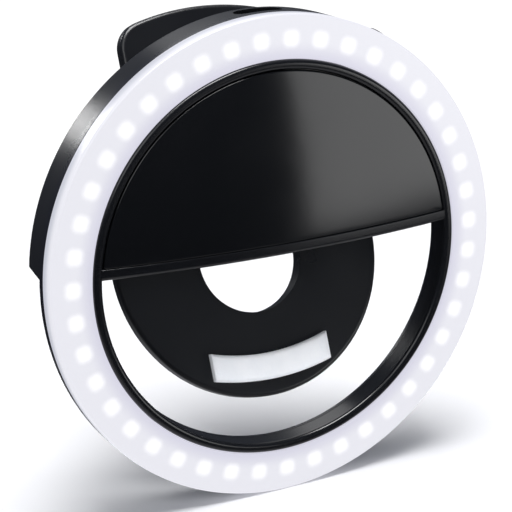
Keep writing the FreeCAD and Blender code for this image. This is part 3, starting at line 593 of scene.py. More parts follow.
# Tape under the cell: matt off-white foam.
TAPE = MouldedPlastic(
    name="white acrylic foam tape", colour="ecebe6", second="e2e1db", roughness=0.7,
    height_mm=0.02, cloud_mm=4.0,
)
# Leads: soft PVC with a dull shine.
RED_LEAD = MouldedPlastic(
    name="red PVC of a lead, extruded", colour="b3201c", second="a21a17", roughness=0.4,
    grain_mm=0.4, height_mm=0.004, cloud_mm=2.0,
)
BLACK_LEAD = MouldedPlastic(
    name="black PVC of a lead, extruded", colour="161617", second="1d1d1f", roughness=0.42,
    grain_mm=0.4, height_mm=0.004, cloud_mm=2.0,
)


# ------------------------------------------------------------------ shaping


@dataclass(frozen=True)
class Corner:
    """A corner of an outline and how far it is rounded."""

    across: float
    up: float
    radius: float = 0.0


def arc(centre: Flat, radius: float, start: float, stop: float, steps: int) -> list[Flat]:
    """Points along an arc, both ends included, with angles in degrees from the first axis."""
    angles = [math.radians(start + (stop - start) * i / steps) for i in range(steps + 1)]
    return [(centre[0] + radius * math.cos(a), centre[1] + radius * math.sin(a)) for a in angles]


def traced(corners: Sequence[Corner], steps: int = 5) -> list[Flat]:
    """A closed outline with its corners rounded.

    Args:
        corners: the outline's corners in order.
        steps: straight steps in each rounding.

    Returns:
        The outline's points.
    """
    points: list[Flat] = []
    for i, corner in enumerate(corners):
        here = Vector((corner.across, corner.up))
        if corner.radius <= 0:
            points.append((here.x, here.y))
            continue
        before, after = corners[i - 1], corners[(i + 1) % len(corners)]
        back = (Vector((before.across, before.up)) - here).normalized()
        ahead = (Vector((after.across, after.up)) - here).normalized()
        half = back.angle(ahead) / 2
        middle = here + (back + ahead).normalized() * corner.radius / math.sin(half)
        first = (here + back * corner.radius / math.tan(half) - middle).normalized()
        last = (here + ahead * corner.radius / math.tan(half) - middle).normalized()
        for k in range(steps + 1):
            spot = middle + first.slerp(last, k / steps) * corner.radius
            points.append((spot.x, spot.y))
    return points


def solid(name: str, points: Sequence[Place], faces: Sequence[Sequence[int]]) -> Piece:
    """An object out of points and faces, merged and with its normals outwards.

    Args:
        name: the object's name.
        points: the points in millimetres.
        faces: lists of point numbers.

    Returns:
        The new object.
    """
    mesh = bpy.data.meshes.new(name)
    mesh.from_pydata(points, [], faces)
    shape = bmesh.new()
    shape.from_mesh(mesh)
    bmesh.ops.remove_doubles(shape, verts=shape.verts, dist=1e-5)
    bmesh.ops.dissolve_degenerate(shape, edges=shape.edges, dist=1e-5)
    bmesh.ops.recalc_face_normals(shape, faces=shape.faces)
    shape.to_mesh(mesh)
    shape.free()
    piece = bpy.data.objects.new(name, mesh)
    bpy.context.scene.collection.objects.link(piece)
    return piece


def turned(name: str, outline: Sequence[Flat], segments: int = ROUND) -> Piece:
    """A closed outline of (radius, depth) points turned about the ring's axis.

    Args:
        name: the object's name.
        outline: the outline; it may touch the axis.
        segments: steps round the axis.

    Returns:
        The new object.
    """
    points: list[Place] = []
    faces: list[Sequence[int]] = []
    count = len(outline)
    for s in range(segments):
        angle = math.tau * s / segments
        points += [(r * math.sin(angle), y, r * math.cos(angle)) for r, y in outline]
        base, following = s * count, (s + 1) % segments * count
        for i in range(count):
            j = (i + 1) % count
            faces.append((base + i, base + j, following + j, following + i))
    return solid(name, points, faces)


def inset(outline: Sequence[Flat], by: float) -> list[Flat]:
    """An outline drawn in by a distance, for an outline that runs anticlockwise.

    Args:
        outline: the outline's points.
        by: how far it is drawn in.

    Returns:
        The same number of points.
    """
    drawn: list[Flat] = []
    count = len(outline)
    for i in range(count):
        here = Vector(outline[i])
        back = (here - Vector(outline[i - 1])).normalized()
        ahead = (Vector(outline[(i + 1) % count]) - here).normalized()
        along = (back + ahead).normalized()
        inward = Vector((-along.y, along.x))
        share = max(0.3, along.dot(ahead))
        spot = here + inward * by / share
        drawn.append((spot.x, spot.y))
    return drawn


def lofted(name: str, loops: Sequence[Sequence[Place]]) -> Piece:
    """A solid out of closed loops with the same number of points, capped at both ends.

    Args:
        name: the object's name.
        loops: the loops in order.

    Returns:
        The new object.
    """
    count = len(loops[0])
    faces: list[Sequence[int]] = [tuple(range(count))]
    for base in range(0, count * (len(loops) - 1), count):
        for i in range(count):
            j = (i + 1) % count
            faces.append((base + i, base + j, base + count + j, base + count + i))
    faces.append(tuple(range(count * (len(loops) - 1), count * len(loops))))
    return solid(name, [point for loop in loops for point in loop], faces)


def pushed(
    name: str,
    outline: Sequence[Flat],
    limits: Flat,
    axis: Axis = Axis.Y,
    rounding: Flat = (0.0, 0.0),
    steps: int = 4,
) -> Piece:
    """An outline pushed along an axis, with rounded rims.

    Args:
        name: the object's name.
        outline: points on the two other axes, in the order X, Y, Z, anticlockwise.
        limits: where along the axis it starts and stops.
        axis: the axis.
        rounding: radius of the rims at the start and at the stop.
        steps: straight steps in each rounding.

    Returns:
        The new object.
    """
    low, high = limits
    levels: list[Flat] = []
    for k in range(steps + 1):
        angle = math.pi / 2 * k / steps
        levels.append((rounding[0] * (1 - math.sin(angle)), low + rounding[0] * (1 - math.cos(angle))))
    for k in range(steps + 1):
        angle = math.pi / 2 * (1 - k / steps)
        levels.append((rounding[1] * (1 - math.sin(angle)), high - rounding[1] * (1 - math.cos(angle))))
    loops: list[list[Place]] = []
    for drawn, level in levels:
        loop: list[Place] = []
        for across, up in inset(outline, drawn) if drawn > 0 else outline:
            spot = [across, up]
            spot.insert(axis.value, level)
            loop.append((spot[0], spot[1], spot[2]))
        loops.append(loop)
    return lofted(name, loops)


def rod(
    name: str, radius: float, limits: Flat, spot: Flat, axis: Axis = Axis.Y, steps: int = CIRCLE
) -> Piece:
    """A round bar along an axis, for building up and cutting out."""
    return pushed(name, arc(spot, radius, 0, 360.0 * (1 - 1 / steps), steps - 1), limits, axis)


def capsule(half: float, radius: float, middle: Flat = (0.0, 0.0)) -> list[Flat]:
    """A long outline with round ends.

    Args:
        half: half its length.
        radius: half its width.
        middle: its centre.

    Returns:
        The outline's points, anticlockwise.
    """
    across, up = middle
    right = arc((across + half - radius, up), radius, -90, 90, 12)
    return right + arc((across - half + radius, up), radius, 90, 270, 12)


def swap_mesh(piece: Piece) -> None:
    """Applies a piece's modifiers and drops them.

    Args:
        piece: the piece; its old mesh is removed.
    """
    graph = bpy.context.evaluated_depsgraph_get()
    made = bpy.data.meshes.new_from_object(piece.evaluated_get(graph))
    piece.modifiers.clear()
    old, piece.data = piece.data, made
    bpy.data.meshes.remove(old)


def merged(piece: Piece, *others: Piece) -> Piece:
    """Puts other pieces' faces into a piece's mesh, with no cutting.

    Args:
        piece: the one that is kept.
        others: the ones that are taken in.

    Returns:
        The first piece.
    """
    shape = bmesh.new()
    shape.from_mesh(piece.data)
    for other in others:
        other.data.transform(other.matrix_basis)
        shape.from_mesh(other.data)
        drop(other)
    shape.to_mesh(piece.data)
    shape.free()
    return piece


def drop(piece: Piece) -> None:
    """Removes a piece and its mesh.

    Args:
        piece: the piece that isn't needed any more.
    """
    mesh = piece.data
    bpy.data.objects.remove(piece)
    bpy.data.meshes.remove(mesh)


def combined(piece: Piece, how: Blend, *tools: Piece) -> Piece:
    """Cuts tools out of a piece or fuses them to it, one after another.

    Args:
        piece: the solid that is kept.
        how: cut or fuse.
        tools: the solids that are used up.

    Returns:
        The first piece.
    """
    for tool in tools:
        step = piece.modifiers.new("step", "BOOLEAN")
        step.operation = how.value
        step.solver = "EXACT"
        step.object = tool
        swap_mesh(piece)
        drop(tool)
    return piece


def softened(piece: Piece, width: float, steps: int = 2, angle: float = 32.0) -> Piece:
    """Rounds every sharp edge of a piece a little, as a moulding tool leaves it.

    Args:
        piece: the solid.
        width: how wide the rounding is.
        steps: straight steps across it.
        angle: edges sharper than this many degrees are rounded.

    Returns:
        The piece.
    """
    step = piece.modifiers.new("edge", "BEVEL")
    step.limit_method = "ANGLE"
    step.angle_limit = math.radians(angle)
    step.width = width
    step.segments = steps
    step.use_clamp_overlap = True
    swap_mesh(piece)
    return piece


def rounded(
    piece: Piece, width: float, steps: int, chosen: Callable[[Vector, Vector], bool]
) -> Piece:
    """Rounds the edges that a test picks out by their two ends.

    Args:
        piece: the solid.
        width: how wide the rounding is.
        steps: straight steps across it.
        chosen: tells from both ends whether an edge is rounded.

    Returns:
        The piece.
    """
    shape = bmesh.new()
    shape.from_mesh(piece.data)
    picked = [
        edge for edge in shape.edges
        if chosen(edge.verts[0].co, edge.verts[1].co) and edge.calc_face_angle(0) > 0.5
    ]
    bmesh.ops.bevel(
        shape, geom=picked, offset=width, offset_type="OFFSET", segments=steps, profile=0.5,
        affect="EDGES", clamp_overlap=True,
    )
    shape.to_mesh(piece.data)
    shape.free()
    return piece


def tube(name: str, points: Sequence[Place], radius: float) -> Piece:
    """A round wire along a smooth line, with closed ends.

    Args:
        name: the object's name.
        points: the wire's middle line.
        radius: the wire's radius.

    Returns:
        The new object, as a mesh.
    """
    curve = bpy.data.curves.new(name, "CURVE")
    curve.dimensions = "3D"
    curve.bevel_depth = radius
    curve.bevel_resolution = 4
    curve.use_fill_caps = True
    line = curve.splines.new("POLY")
    line.points.add(len(points) - 1)
    for point, spot in zip(line.points, points):
        point.co = (*spot, 1.0)
    line.use_smooth = True
    wire = bpy.data.objects.new(name + "_line", curve)
    bpy.context.scene.collection.objects.link(wire)
    graph = bpy.context.evaluated_depsgraph_get()
    mesh = bpy.data.meshes.new_from_object(wire.evaluated_get(graph))
    bpy.data.objects.remove(wire)
    bpy.data.curves.remove(curve)
    piece = bpy.data.objects.new(name, mesh)
    bpy.context.scene.collection.objects.link(piece)
    return piece


def finish_piece(
    piece: Piece, finish: Finish, body: Body, slot: Slot, *nodes: str, angle: float = 30.0
) -> Piece:
    """Brings a piece to metres, dresses it and hands it to the frame.

    Args:
        piece: the piece, in millimetres.
        finish: its surface.
        body: the body that it rides on.
        slot: the record's slot for the piece; not used.
        nodes: the CAD nodes that it stands for.
        angle: edges sharper than this many degrees stay sharp.

    Returns:
        The piece.
    """
    piece.data.transform(piece.matrix_basis)
    piece.matrix_basis = Matrix.Identity(4)
    piece.data.transform(Matrix.Scale(MM, 4))
    piece.data.shade_smooth()
    piece.data.set_sharp_from_angle(angle=math.radians(angle))
    step = piece.modifiers.new("normals", "WEIGHTED_NORMAL")
    step.keep_sharp = True
    swap_mesh(piece)
    piece.data.materials.clear()
    piece.data.materials.append(finish.material())
    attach(piece, body.value)
    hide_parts(*nodes)
    LOG.info("%s: %d faces, %s", piece.name, len(piece.data.polygons), finish.name)
    return piece


def dress_node(frame: dict, finish: Finish, *names: str) -> None:
    """Gives CAD nodes a finish in their own material slots.

    Args:
        finish: the surface.
        names: the nodes.
    """
    for name in names:
        node = frame["nodes"][name]
        for holder in node.material_slots:
            holder.material = finish.material()
        LOG.info("%s: CAD node, %s", name, finish.name)


# ------------------------------------------------------------------ the ring

SCREW_SPOTS = ((-27.0, 12.0), (27.0, 12.0), (-11.0, 28.5), (11.0, 28.5))


@dataclass(frozen=True)
class Underside:
    """The sloping plane under the half disc and the deep housing."""

    height: float = 1.9
    at: float = -4.6
    slope: float = 0.2
    reach: float = 20.0
    far: float = 80.0

    def level(self, depth: float, lift: float = 0.0) -> float:
        """Its height at a depth, raised by a lift."""
        return self.height + lift + self.slope * (depth - self.at)

    def below(self, name: str, lift: float = 0.0) -> Piece:
        """A solid that holds everything under the plane.

        Args:
            name: the solid's name.
            lift: how far the plane is raised.

        Returns:
            The new object.
        """
        front, rear = -self.reach, self.reach
        outline = [
            (front, -self.far), (rear, -self.far),
            (rear, self.level(rear, lift)), (front, self.level(front, lift)),
        ]
        return pushed(name, outline, (-self.far, self.far), Axis.X)

    def above(self, name: str, front: float, rear: float, lift: float = 0.0) -> Piece:
        """A solid that holds everything over the plane between two depths.

        Args:
            name: the solid's name.
            front: the first depth.
            rear: the second depth.
            lift: how far the plane is raised.

        Returns:
            The new object.
        """
        outline = [
            (front, self.level(front, lift)), (rear, self.level(rear, lift)),
            (rear, self.far), (front, self.far),
        ]
        return pushed(name, outline, (-self.far, self.far), Axis.X)


@dataclass
class LightRing:
    """Milky cover, the black channel behind it and the lit board inside."""

    underside: Underside
    radius: float = 42.5
    opening: float = 33.2
    cover_inner: float = 34.95
    front: float = -4.6
    skirt_rear: float = -1.6
    wall: float = 1.1
    inner_lip: float = 0.8
    front_edge: float = 0.45
    seat: float = 0.2
    shelf: float = 0.8
    channel_front: float = -1.585
    edge: float = 0.14

    def build(self, frame: dict) -> None:
        """Makes both mouldings and dresses the board.
        """
        self.add_cover()
        self.add_channel()
        dress_node(frame, WHITE_BOARD, "led_board")
        dress_node(frame, PHOSPHOR, "leds", "charge_lamp")
        dress_node(frame, EPOXY, "led_resistors")

    def add_cover(self) -> None:
        """The milky cover: a flat face with a deep outer skirt and a short inner one."""
        inside = self.front + self.wall
        lip = self.cover_inner + self.inner_lip
        outline = traced([
            Corner(self.cover_inner, self.front, 0.18),
            Corner(self.radius, self.front, self.front_edge),
            Corner(self.radius, self.skirt_rear, 0.1),
            Corner(self.radius - self.wall, self.skirt_rear),
            Corner(self.radius - self.wall, inside, 0.3),
            Corner(lip, inside, 0.3),
            Corner(lip, self.skirt_rear - self.inner_lip),
            Corner(self.cover_inner, self.skirt_rear - self.inner_lip),
        ])
        cover = turned("milky_cover", outline)
        finish_piece(cover, MILKY, Body.HOUSING, Slot.MILKY, "diffuser")

    def add_channel(self) -> None:
        """The black channel, stepped at its rear where the deep cover sits in it."""
        inner = self.radius - self.wall
        outline = traced([
            Corner(self.opening, -self.shelf),
            Corner(inner, -self.shelf),
            Corner(inner, self.channel_front),
            Corner(self.radius, self.channel_front, self.edge),
            Corner(self.radius, 0.0, self.edge),
            Corner(self.opening, 0.0, self.edge),
        ], 3)
        channel = turned("light_channel", outline)
        seat = self.underside.above("cover_seat", -self.seat, 10.0)
        combined(channel, Blend.CUT, seat)
        finish_piece(channel, CHANNEL, Body.HOUSING, Slot.SATIN, "ring_frame")


@dataclass
class FrontHalf:
    """The inner bezel with the half disc behind the glossy crowned panel."""

    underside: Underside
    opening: float = 33.2
    bezel: float = 34.9
    front: float = -4.6
    bezel_rise: float = 0.2
    bezel_edge: float = 0.7
    bezel_rear: float = -0.85
    crown_rise: float = 2.0
    panel_depth: float = 0.95
    panel_edge: float = 0.24
    seat_depth: float = 1.0
    backing_depth: float = 2.0
    seam: float = 0.12
    lip: float = 2.1
    lip_edge: float = 0.9
    rear: float = -0.25
    wall: float = 1.2
    bosses: tuple[Flat, ...] = SCREW_SPOTS
    boss: float = 2.0
    boss_span: Flat = (-3.5, 1.3)
    overlap: float = 0.5
    lip_top_edge: float = 0.14
    lip_past: float = 0.4
    lip_columns: int = 120
    panel_corner: float = 0.4
    panel_columns: int = 60
    panel_arc: int = 150
    panel_rings: int = 16
    clear_turn: float = 1.5
    middle: float = 14.94

    def face(self, radius: float, depth: float = 0.0) -> float:
        """Where the crowned face is at a radius, or a surface that runs behind it.

        Args:
            radius: the distance from the ring's axis.
            depth: how far behind the face the surface runs.

        Returns:
            The depth along the ring's axis.
        """
        ball = (self.opening**2 + self.crown_rise**2) / (2 * self.crown_rise)
        centre = self.front - self.crown_rise + ball
        return centre - math.sqrt((ball - depth) ** 2 - radius**2)

    def crown(self, depth: float, reach: float, rings: int = 22) -> list[Flat]:
        """(radius, depth) points on or behind the crowned face, from the axis to a radius."""
        radii = [reach * i / rings for i in range(rings + 1)]
        return [(radius, self.face(radius, depth)) for radius in radii]

    def build(self) -> None:
        """Makes the black moulding and the panel."""
        self.add_frame()
        self.add_panel()

    def add_frame(self) -> None:
        """The moulding: bezel ring, half-disc backing, lip and screw bosses."""
        top = self.front - self.bezel_rise
        outline = traced([
            Corner(self.opening, top, self.bezel_edge),
            Corner(self.bezel, top, self.bezel_edge),
            Corner(self.bezel, self.bezel_rear),
            Corner(self.opening, self.bezel_rear, 0.1),
        ], 7)
        frame = turned("bezel_and_backing", outline)
        reach = self.opening + self.overlap
        face = self.crown(self.seat_depth, reach)
        backing = turned("backing", [*face, (reach, self.rear), (0.0, self.rear)])
        combined(backing, Blend.CUT, self.underside.below("under"))
        hollow_face = self.crown(self.backing_depth, self.opening - self.wall)
        inner, past = self.opening - self.wall, self.rear + self.overlap
        hollow = turned("hollow", [*hollow_face, (inner, past), (0.0, past)], ROUND // 2)
        combined(hollow, Blend.CUT, self.underside.below("under_hollow", self.wall))
        combined(backing, Blend.CUT, hollow)
        combined(frame, Blend.FUSE, backing)
        bars = [rod("boss", self.boss, self.boss_span, spot) for spot in self.bosses]
        merged(frame, self.lip_strip(), *bars)
        finish_piece(frame, BEZEL, Body.HOUSING, Slot.GLOSS, "front_frame")

    def lip_strip(self) -> Piece:
        """The lip under the panel, flush with it and well rounded at its lower edge.

        Returns:
            The new object.
        """
        seat, lip = self.seat_depth + BOND, self.lip
        section = traced([
            Corner(0.0, 0.0, self.lip_edge), Corner(seat, 0.0), Corner(seat, lip),
            Corner(0.0, lip, self.lip_top_edge),
        ], 8)
        half, columns = self.opening + self.lip_past, self.lip_columns
        loops: list[list[Place]] = []
        for i in range(columns + 1):
            across = half * (2 * i / columns - 1)
            loop: list[Place] = []
            for behind, lift in section:
                up = self.underside.height + lift
                for _ in range(3):  # the depth and the height settle on each other
                    depth = self.face(math.hypot(across, up)) + behind
                    up = self.underside.level(depth, lift)
                loop.append((across, depth, up))
            loops.append(loop)
        return lofted("lip", loops)

    def on_panel(self, spot: Flat, depth: float) -> Place:
        """A point of the panel, its base leaning as the underside does.

        Args:
            spot: across, and height as if the base were level.
            depth: how far behind the crowned face.

        Returns:
            The point.
        """
        across, up = spot
        base = self.underside.height + self.lip
        share = min(1.0, (self.opening - up) / (self.opening - base))
        behind = self.face(math.hypot(across, up), depth)
        return (across, behind, up + share * self.underside.slope * (behind - self.front))

    def add_panel(self) -> None:
        """The crowned glossy panel in its seat, with a fine seam all round."""
        reach = self.opening - self.seam
        base = self.underside.height + self.lip + self.seam
        start = math.degrees(math.asin(base / reach))
        end, steps = reach * math.cos(math.radians(start)), self.panel_columns
        first = start + self.clear_turn
        round_side = arc((0.0, 0.0), reach, first, 180.0 - first, self.panel_arc)
        outline = traced([
            Corner(-end, base, self.panel_corner),
            *[Corner(end * (2 * i / steps - 1), base) for i in range(1, steps)],
            Corner(end, base, self.panel_corner),
            *[Corner(*spot) for spot in round_side],
        ], 4)
        rim, count, rim_steps = self.panel_edge, self.panel_rings, 5
        shares = [0.02, *[i / count for i in range(1, count + 1)]]
        rings = [(rim, share, 0.0) for share in shares]
        for k in range(1, rim_steps + 1):
            angle = math.pi / 2 * k / rim_steps
            rings.append((rim * (1 - math.sin(angle)), 1.0, rim * (1 - math.cos(angle))))
        rings += [(0.0, share, self.panel_depth) for share in reversed(shares)]
        loops: list[list[Place]] = []
        middle = self.middle
        for drawn, share, depth in rings:
            edge = inset(outline, drawn) if drawn > 0 else outline
            spots = [(across * share, middle + (up - middle) * share) for across, up in edge]
            loops.append([self.on_panel(spot, depth) for spot in spots])
        finish_piece(lofted("gloss_panel", loops), GLOSS, Body.HOUSING, Slot.GLOSS, "front_panel")


# ------------------------------------------------------------------ the deep housing


@dataclass
class RearHousing:
    """Deep half of the housing with its slots, wells, ears, screws and button."""

    underside: Underside
    radius: float = 42.5
    wall: float = 1.2
    front: float = -0.2
    rear: float = 5.3
    edge: float = 1.5
    pin: Flat = (8.6, 9.0)
    ear: Flat = (8.6, 11.6)
    ear_radius: float = 2.3
    ear_bore: float = 1.02
    flare: float = 1.3
    slot_depth: float = 1.9
    slot: Flat = (4.5, 1.7)
    button: Flat = (3.2, 1.4)
    button_gap: float = 0.25
    button_angle: float = 35.0
    button_top: float = 43.2
    button_base: float = 40.3
    screws: tuple[Flat, ...] = SCREW_SPOTS
    well: float = 2.6
    head_well: float = 1.85
    head: float = 1.6
    head_floor: float = 3.0
    head_rear: float = 4.1
    head_skirt: float = 0.3
    head_dome: float = 0.1
    shank: float = 0.85
    shank_gap: float = 0.1
    shank_rear: float = 4.0
    tip: tuple[Flat, ...] = ((0.0, -3.0), (0.35, -2.6), (0.85, -1.9))
    cross: Flat = (1.0, 0.2)
    cross_depth: float = 0.6
    first_turn: float = 20.0
    next_turn: float = 31.0
    rim_reach: Flat = (4.0, 3.0)
    well_front: float = 1.5
    root: float = 0.6
    far: float = 20.0
    dish: Flat = (0.9, 1.05)
    dish_depth: float = 0.22
    dish_edge: float = 0.15
    button_edge: float = 0.35
    flange: Flat = (0.5, 1.3)
    flange_height: float = 0.6

    def build(self, frame: dict) -> None:
        """Makes the cover, its screws and the button.
        """
        self.add_cover()
        self.add_screws()
        self.add_button()
        dress_node(frame, WHITE_PLASTIC, "switch_plunger")
        dress_node(frame, EPOXY, "switch_body")

    def rim_cut(self, name: str, outline: Sequence[Flat], angle: float) -> Piece:
        """An outline to cut through the rim at an angle.

        Args:
            name: the tool's name.
            outline: across and depth, as seen from above with the cut at the top.
            angle: degrees clockwise from the top.

        Returns:
            The cutting tool.
        """
        inside, outside = self.rim_reach
        tool = pushed(name, outline, (self.radius - inside, self.radius + outside), Axis.Z)
        tool.data.transform(Matrix.Rotation(math.radians(angle), 4, "Y"))
        return tool

    def add_cover(self) -> None:
        """The cover: half a disc, rounded behind, hollow, with everything it carries."""
        disc = turned("disc", [
            (0.0, self.front), (self.radius, self.front), (self.radius, self.rear), (0.0, self.rear),
        ])
        cover = combined(disc, Blend.CUT, self.underside.below("under_cover"))
        cover.name = "deep_cover"

        def at_rear(first: Vector, second: Vector) -> bool:
            """Whether an edge runs round the rear face."""
            return all(abs(end.y - self.rear) < 1e-3 for end in (first, second))

        rounded(cover, self.edge, 7, at_rear)
        inner, back = self.radius - self.wall, self.rear - self.wall
        room = turned("room", [(0.0, -3.0), (inner, -3.0), (inner, back), (0.0, back)])
        combined(room, Blend.CUT, self.underside.below("under_room", self.wall))
        combined(cover, Blend.CUT, room)
        well_span = (self.well_front, self.rear - self.root)
        head_span, shank_span = (self.head_floor, self.far), (0.0, self.shank_rear)
        loose = self.shank + self.shank_gap
        wells = [rod("well", self.well, well_span, spot) for spot in self.screws]
        combined(cover, Blend.FUSE, *wells, *self.ears())
        heads = [rod("head_well", self.head_well, head_span, spot) for spot in self.screws]
        shanks = [rod("shank", loose, shank_span, spot) for spot in self.screws]
        bore = rod("ear_bore", self.ear_bore, (-self.far, self.far), self.pin, Axis.X)
        half, thick = self.slot
        gap = self.button_gap
        inlet = self.rim_cut("inlet_slot", capsule(half, thick, (0.0, self.slot_depth)), 0)
        hole = capsule(self.button[0] + gap, self.button[1] + gap, (0.0, self.slot_depth))
        button_slot = self.rim_cut("button_slot", hole, self.button_angle)
        combined(cover, Blend.CUT, *heads, *shanks, bore, inlet, button_slot)
        softened(cover, 0.14)
        finish_piece(cover, SATIN, Body.HOUSING, Slot.SATIN, "rear_cover")

    def ears(self) -> list[Piece]:
        """The two ears for the hinge pin, flared where they leave the cover.

        Returns:
            The right ear and the left one.
        """
        depth, height = self.pin
        root = self.rear - self.root
        top, low = height + self.ear_radius, height - self.ear_radius
        flare = self.flare
        outline = [
            (root, low - flare), (self.rear, low - flare),
            *arc((self.rear + flare, low - flare), flare, 180, 90, 6),
            *arc((depth, height), self.ear_radius, -90, 90, 18),
            *arc((self.rear + flare, top + flare), flare, -90, -180, 6),
            (self.rear, top + flare), (root, top + flare),
        ]
        near, far = self.ear
        return [
            pushed("right_ear", outline, (near, far), Axis.X),
            pushed("left_ear", outline, (-far, -near), Axis.X),
        ]

    def add_screws(self) -> None:
        """Four pan-head screws with cross recesses, in their wells."""
        floor = self.head_floor
        start = floor + self.head_dome
        rise = (self.head_rear - start) / self.head
        dome = [(r, start + y * rise) for r, y in arc((0.0, 0.0), self.head, 12, 90, 8)]
        outline = [
            *self.tip, (self.shank, floor), (self.head, floor),
            (self.head, floor + self.head_skirt), *dome,
        ]
        long, thin = self.cross
        deep = (self.head_rear - self.cross_depth, self.head_rear + 1.0)
        screws: list[Piece] = []
        for i, (across, up) in enumerate(self.screws):
            screw = turned(f"screw_{i}", outline, 40)
            arms = [
                pushed("arm", [(-a, -b), (a, -b), (a, b), (-a, b)], deep)
                for a, b in ((long, thin), (thin, long))
            ]
            combined(screw, Blend.CUT, *arms)
            angle = math.radians(self.first_turn + self.next_turn * i)
            turn = Matrix.Rotation(angle, 4, "Y")
            screw.data.transform(Matrix.Translation((across, 0.0, up)) @ turn)
            screws.append(screw)
        group = merged(screws[0], *screws[1:])
        group.name = "pan_head_screws"
        finish_piece(group, ZINC, Body.HOUSING, Slot.SCREW, "cover_screws")

    def add_button(self) -> None:
        """The button: a crowned bar with a raised dot, and the flange that keeps it in."""
        half, thick = self.button
        outline = capsule(half, thick, (0.0, self.slot_depth))
        button = pushed(
            "press_button", outline, (self.button_base, self.button_top), Axis.Z,
            (0.0, self.button_edge), 5,
        )
        floor, (foot, mouth) = -self.dish_depth, self.dish
        dish = turned("dish", traced([
            Corner(0.0, floor), Corner(foot, floor, self.dish_edge), Corner(mouth, 1.0),
            Corner(0.0, 1.0),
        ]), CIRCLE)
        tip = Matrix.Rotation(math.radians(90.0), 4, "X")
        dish.data.transform(Matrix.Translation((0.0, self.slot_depth, self.button_top)) @ tip)
        combined(button, Blend.CUT, dish)
        wider, flat = self.flange
        flange = pushed(
            "flange", capsule(half + wider, flat, (0.0, self.slot_depth)),
            (self.button_base, self.button_base + self.flange_height), Axis.Z,
        )
        merged(button, flange)
        button.data.transform(Matrix.Rotation(math.radians(self.button_angle), 4, "Y"))
        finish_piece(button, CHANNEL, Body.BUTTON, Slot.SATIN, "button_cap")


@dataclass
class Electronics:
    """Boards, cell, leads and the charging inlet inside the deep housing."""

    contact_half: float = 0.18
    contact_pitch: float = 0.8
    tongue_front: float = 1.85
    contact_span: Flat = (36.0, 39.3)
    contact_skin: Flat = (0.06, 0.1)
    contact_edge: float = 0.05

    def build(self, frame: dict) -> None:
        """Dresses the CAD nodes and adds the inlet's contacts.
        """
        dress_node(frame, GREEN_BOARD, "control_board", "battery_guard_board")
        dress_node(frame, EPOXY, "board_chips", "usb_tongue")
        dress_node(frame, SHELL_STEEL, "usb_shell")
        dress_node(frame, POUCH, "battery")
        dress_node(frame, TAPE, "battery_tape")
        dress_node(frame, RED_LEAD, "battery_lead_positive", "led_lead_positive")
        dress_node(frame, BLACK_LEAD, "battery_lead_negative", "led_lead_negative")
        self.add_contacts()

    def add_contacts(self) -> None:
        """Five gold strips on the front of the inlet's tongue."""
        strips: list[Piece] = []
        proud, sunk = self.contact_skin
        front, rear = self.tongue_front - proud, self.tongue_front + sunk
        for i in range(-2, 3):
            middle = i * self.contact_pitch
            low, high = middle - self.contact_half, middle + self.contact_half
            outline = [(low, front), (high, front), (high, rear), (low, rear)]
            strips.append(pushed(
                f"contact_{i + 2}", outline, self.contact_span, Axis.Z, (0.0, self.contact_edge), 2,
            ))
        group = merged(strips[0], *strips[1:])
        group.name = "inlet_contacts"
        finish_piece(group, GOLD, Body.HOUSING, Slot.STEEL)


# ------------------------------------------------------------------ the clip


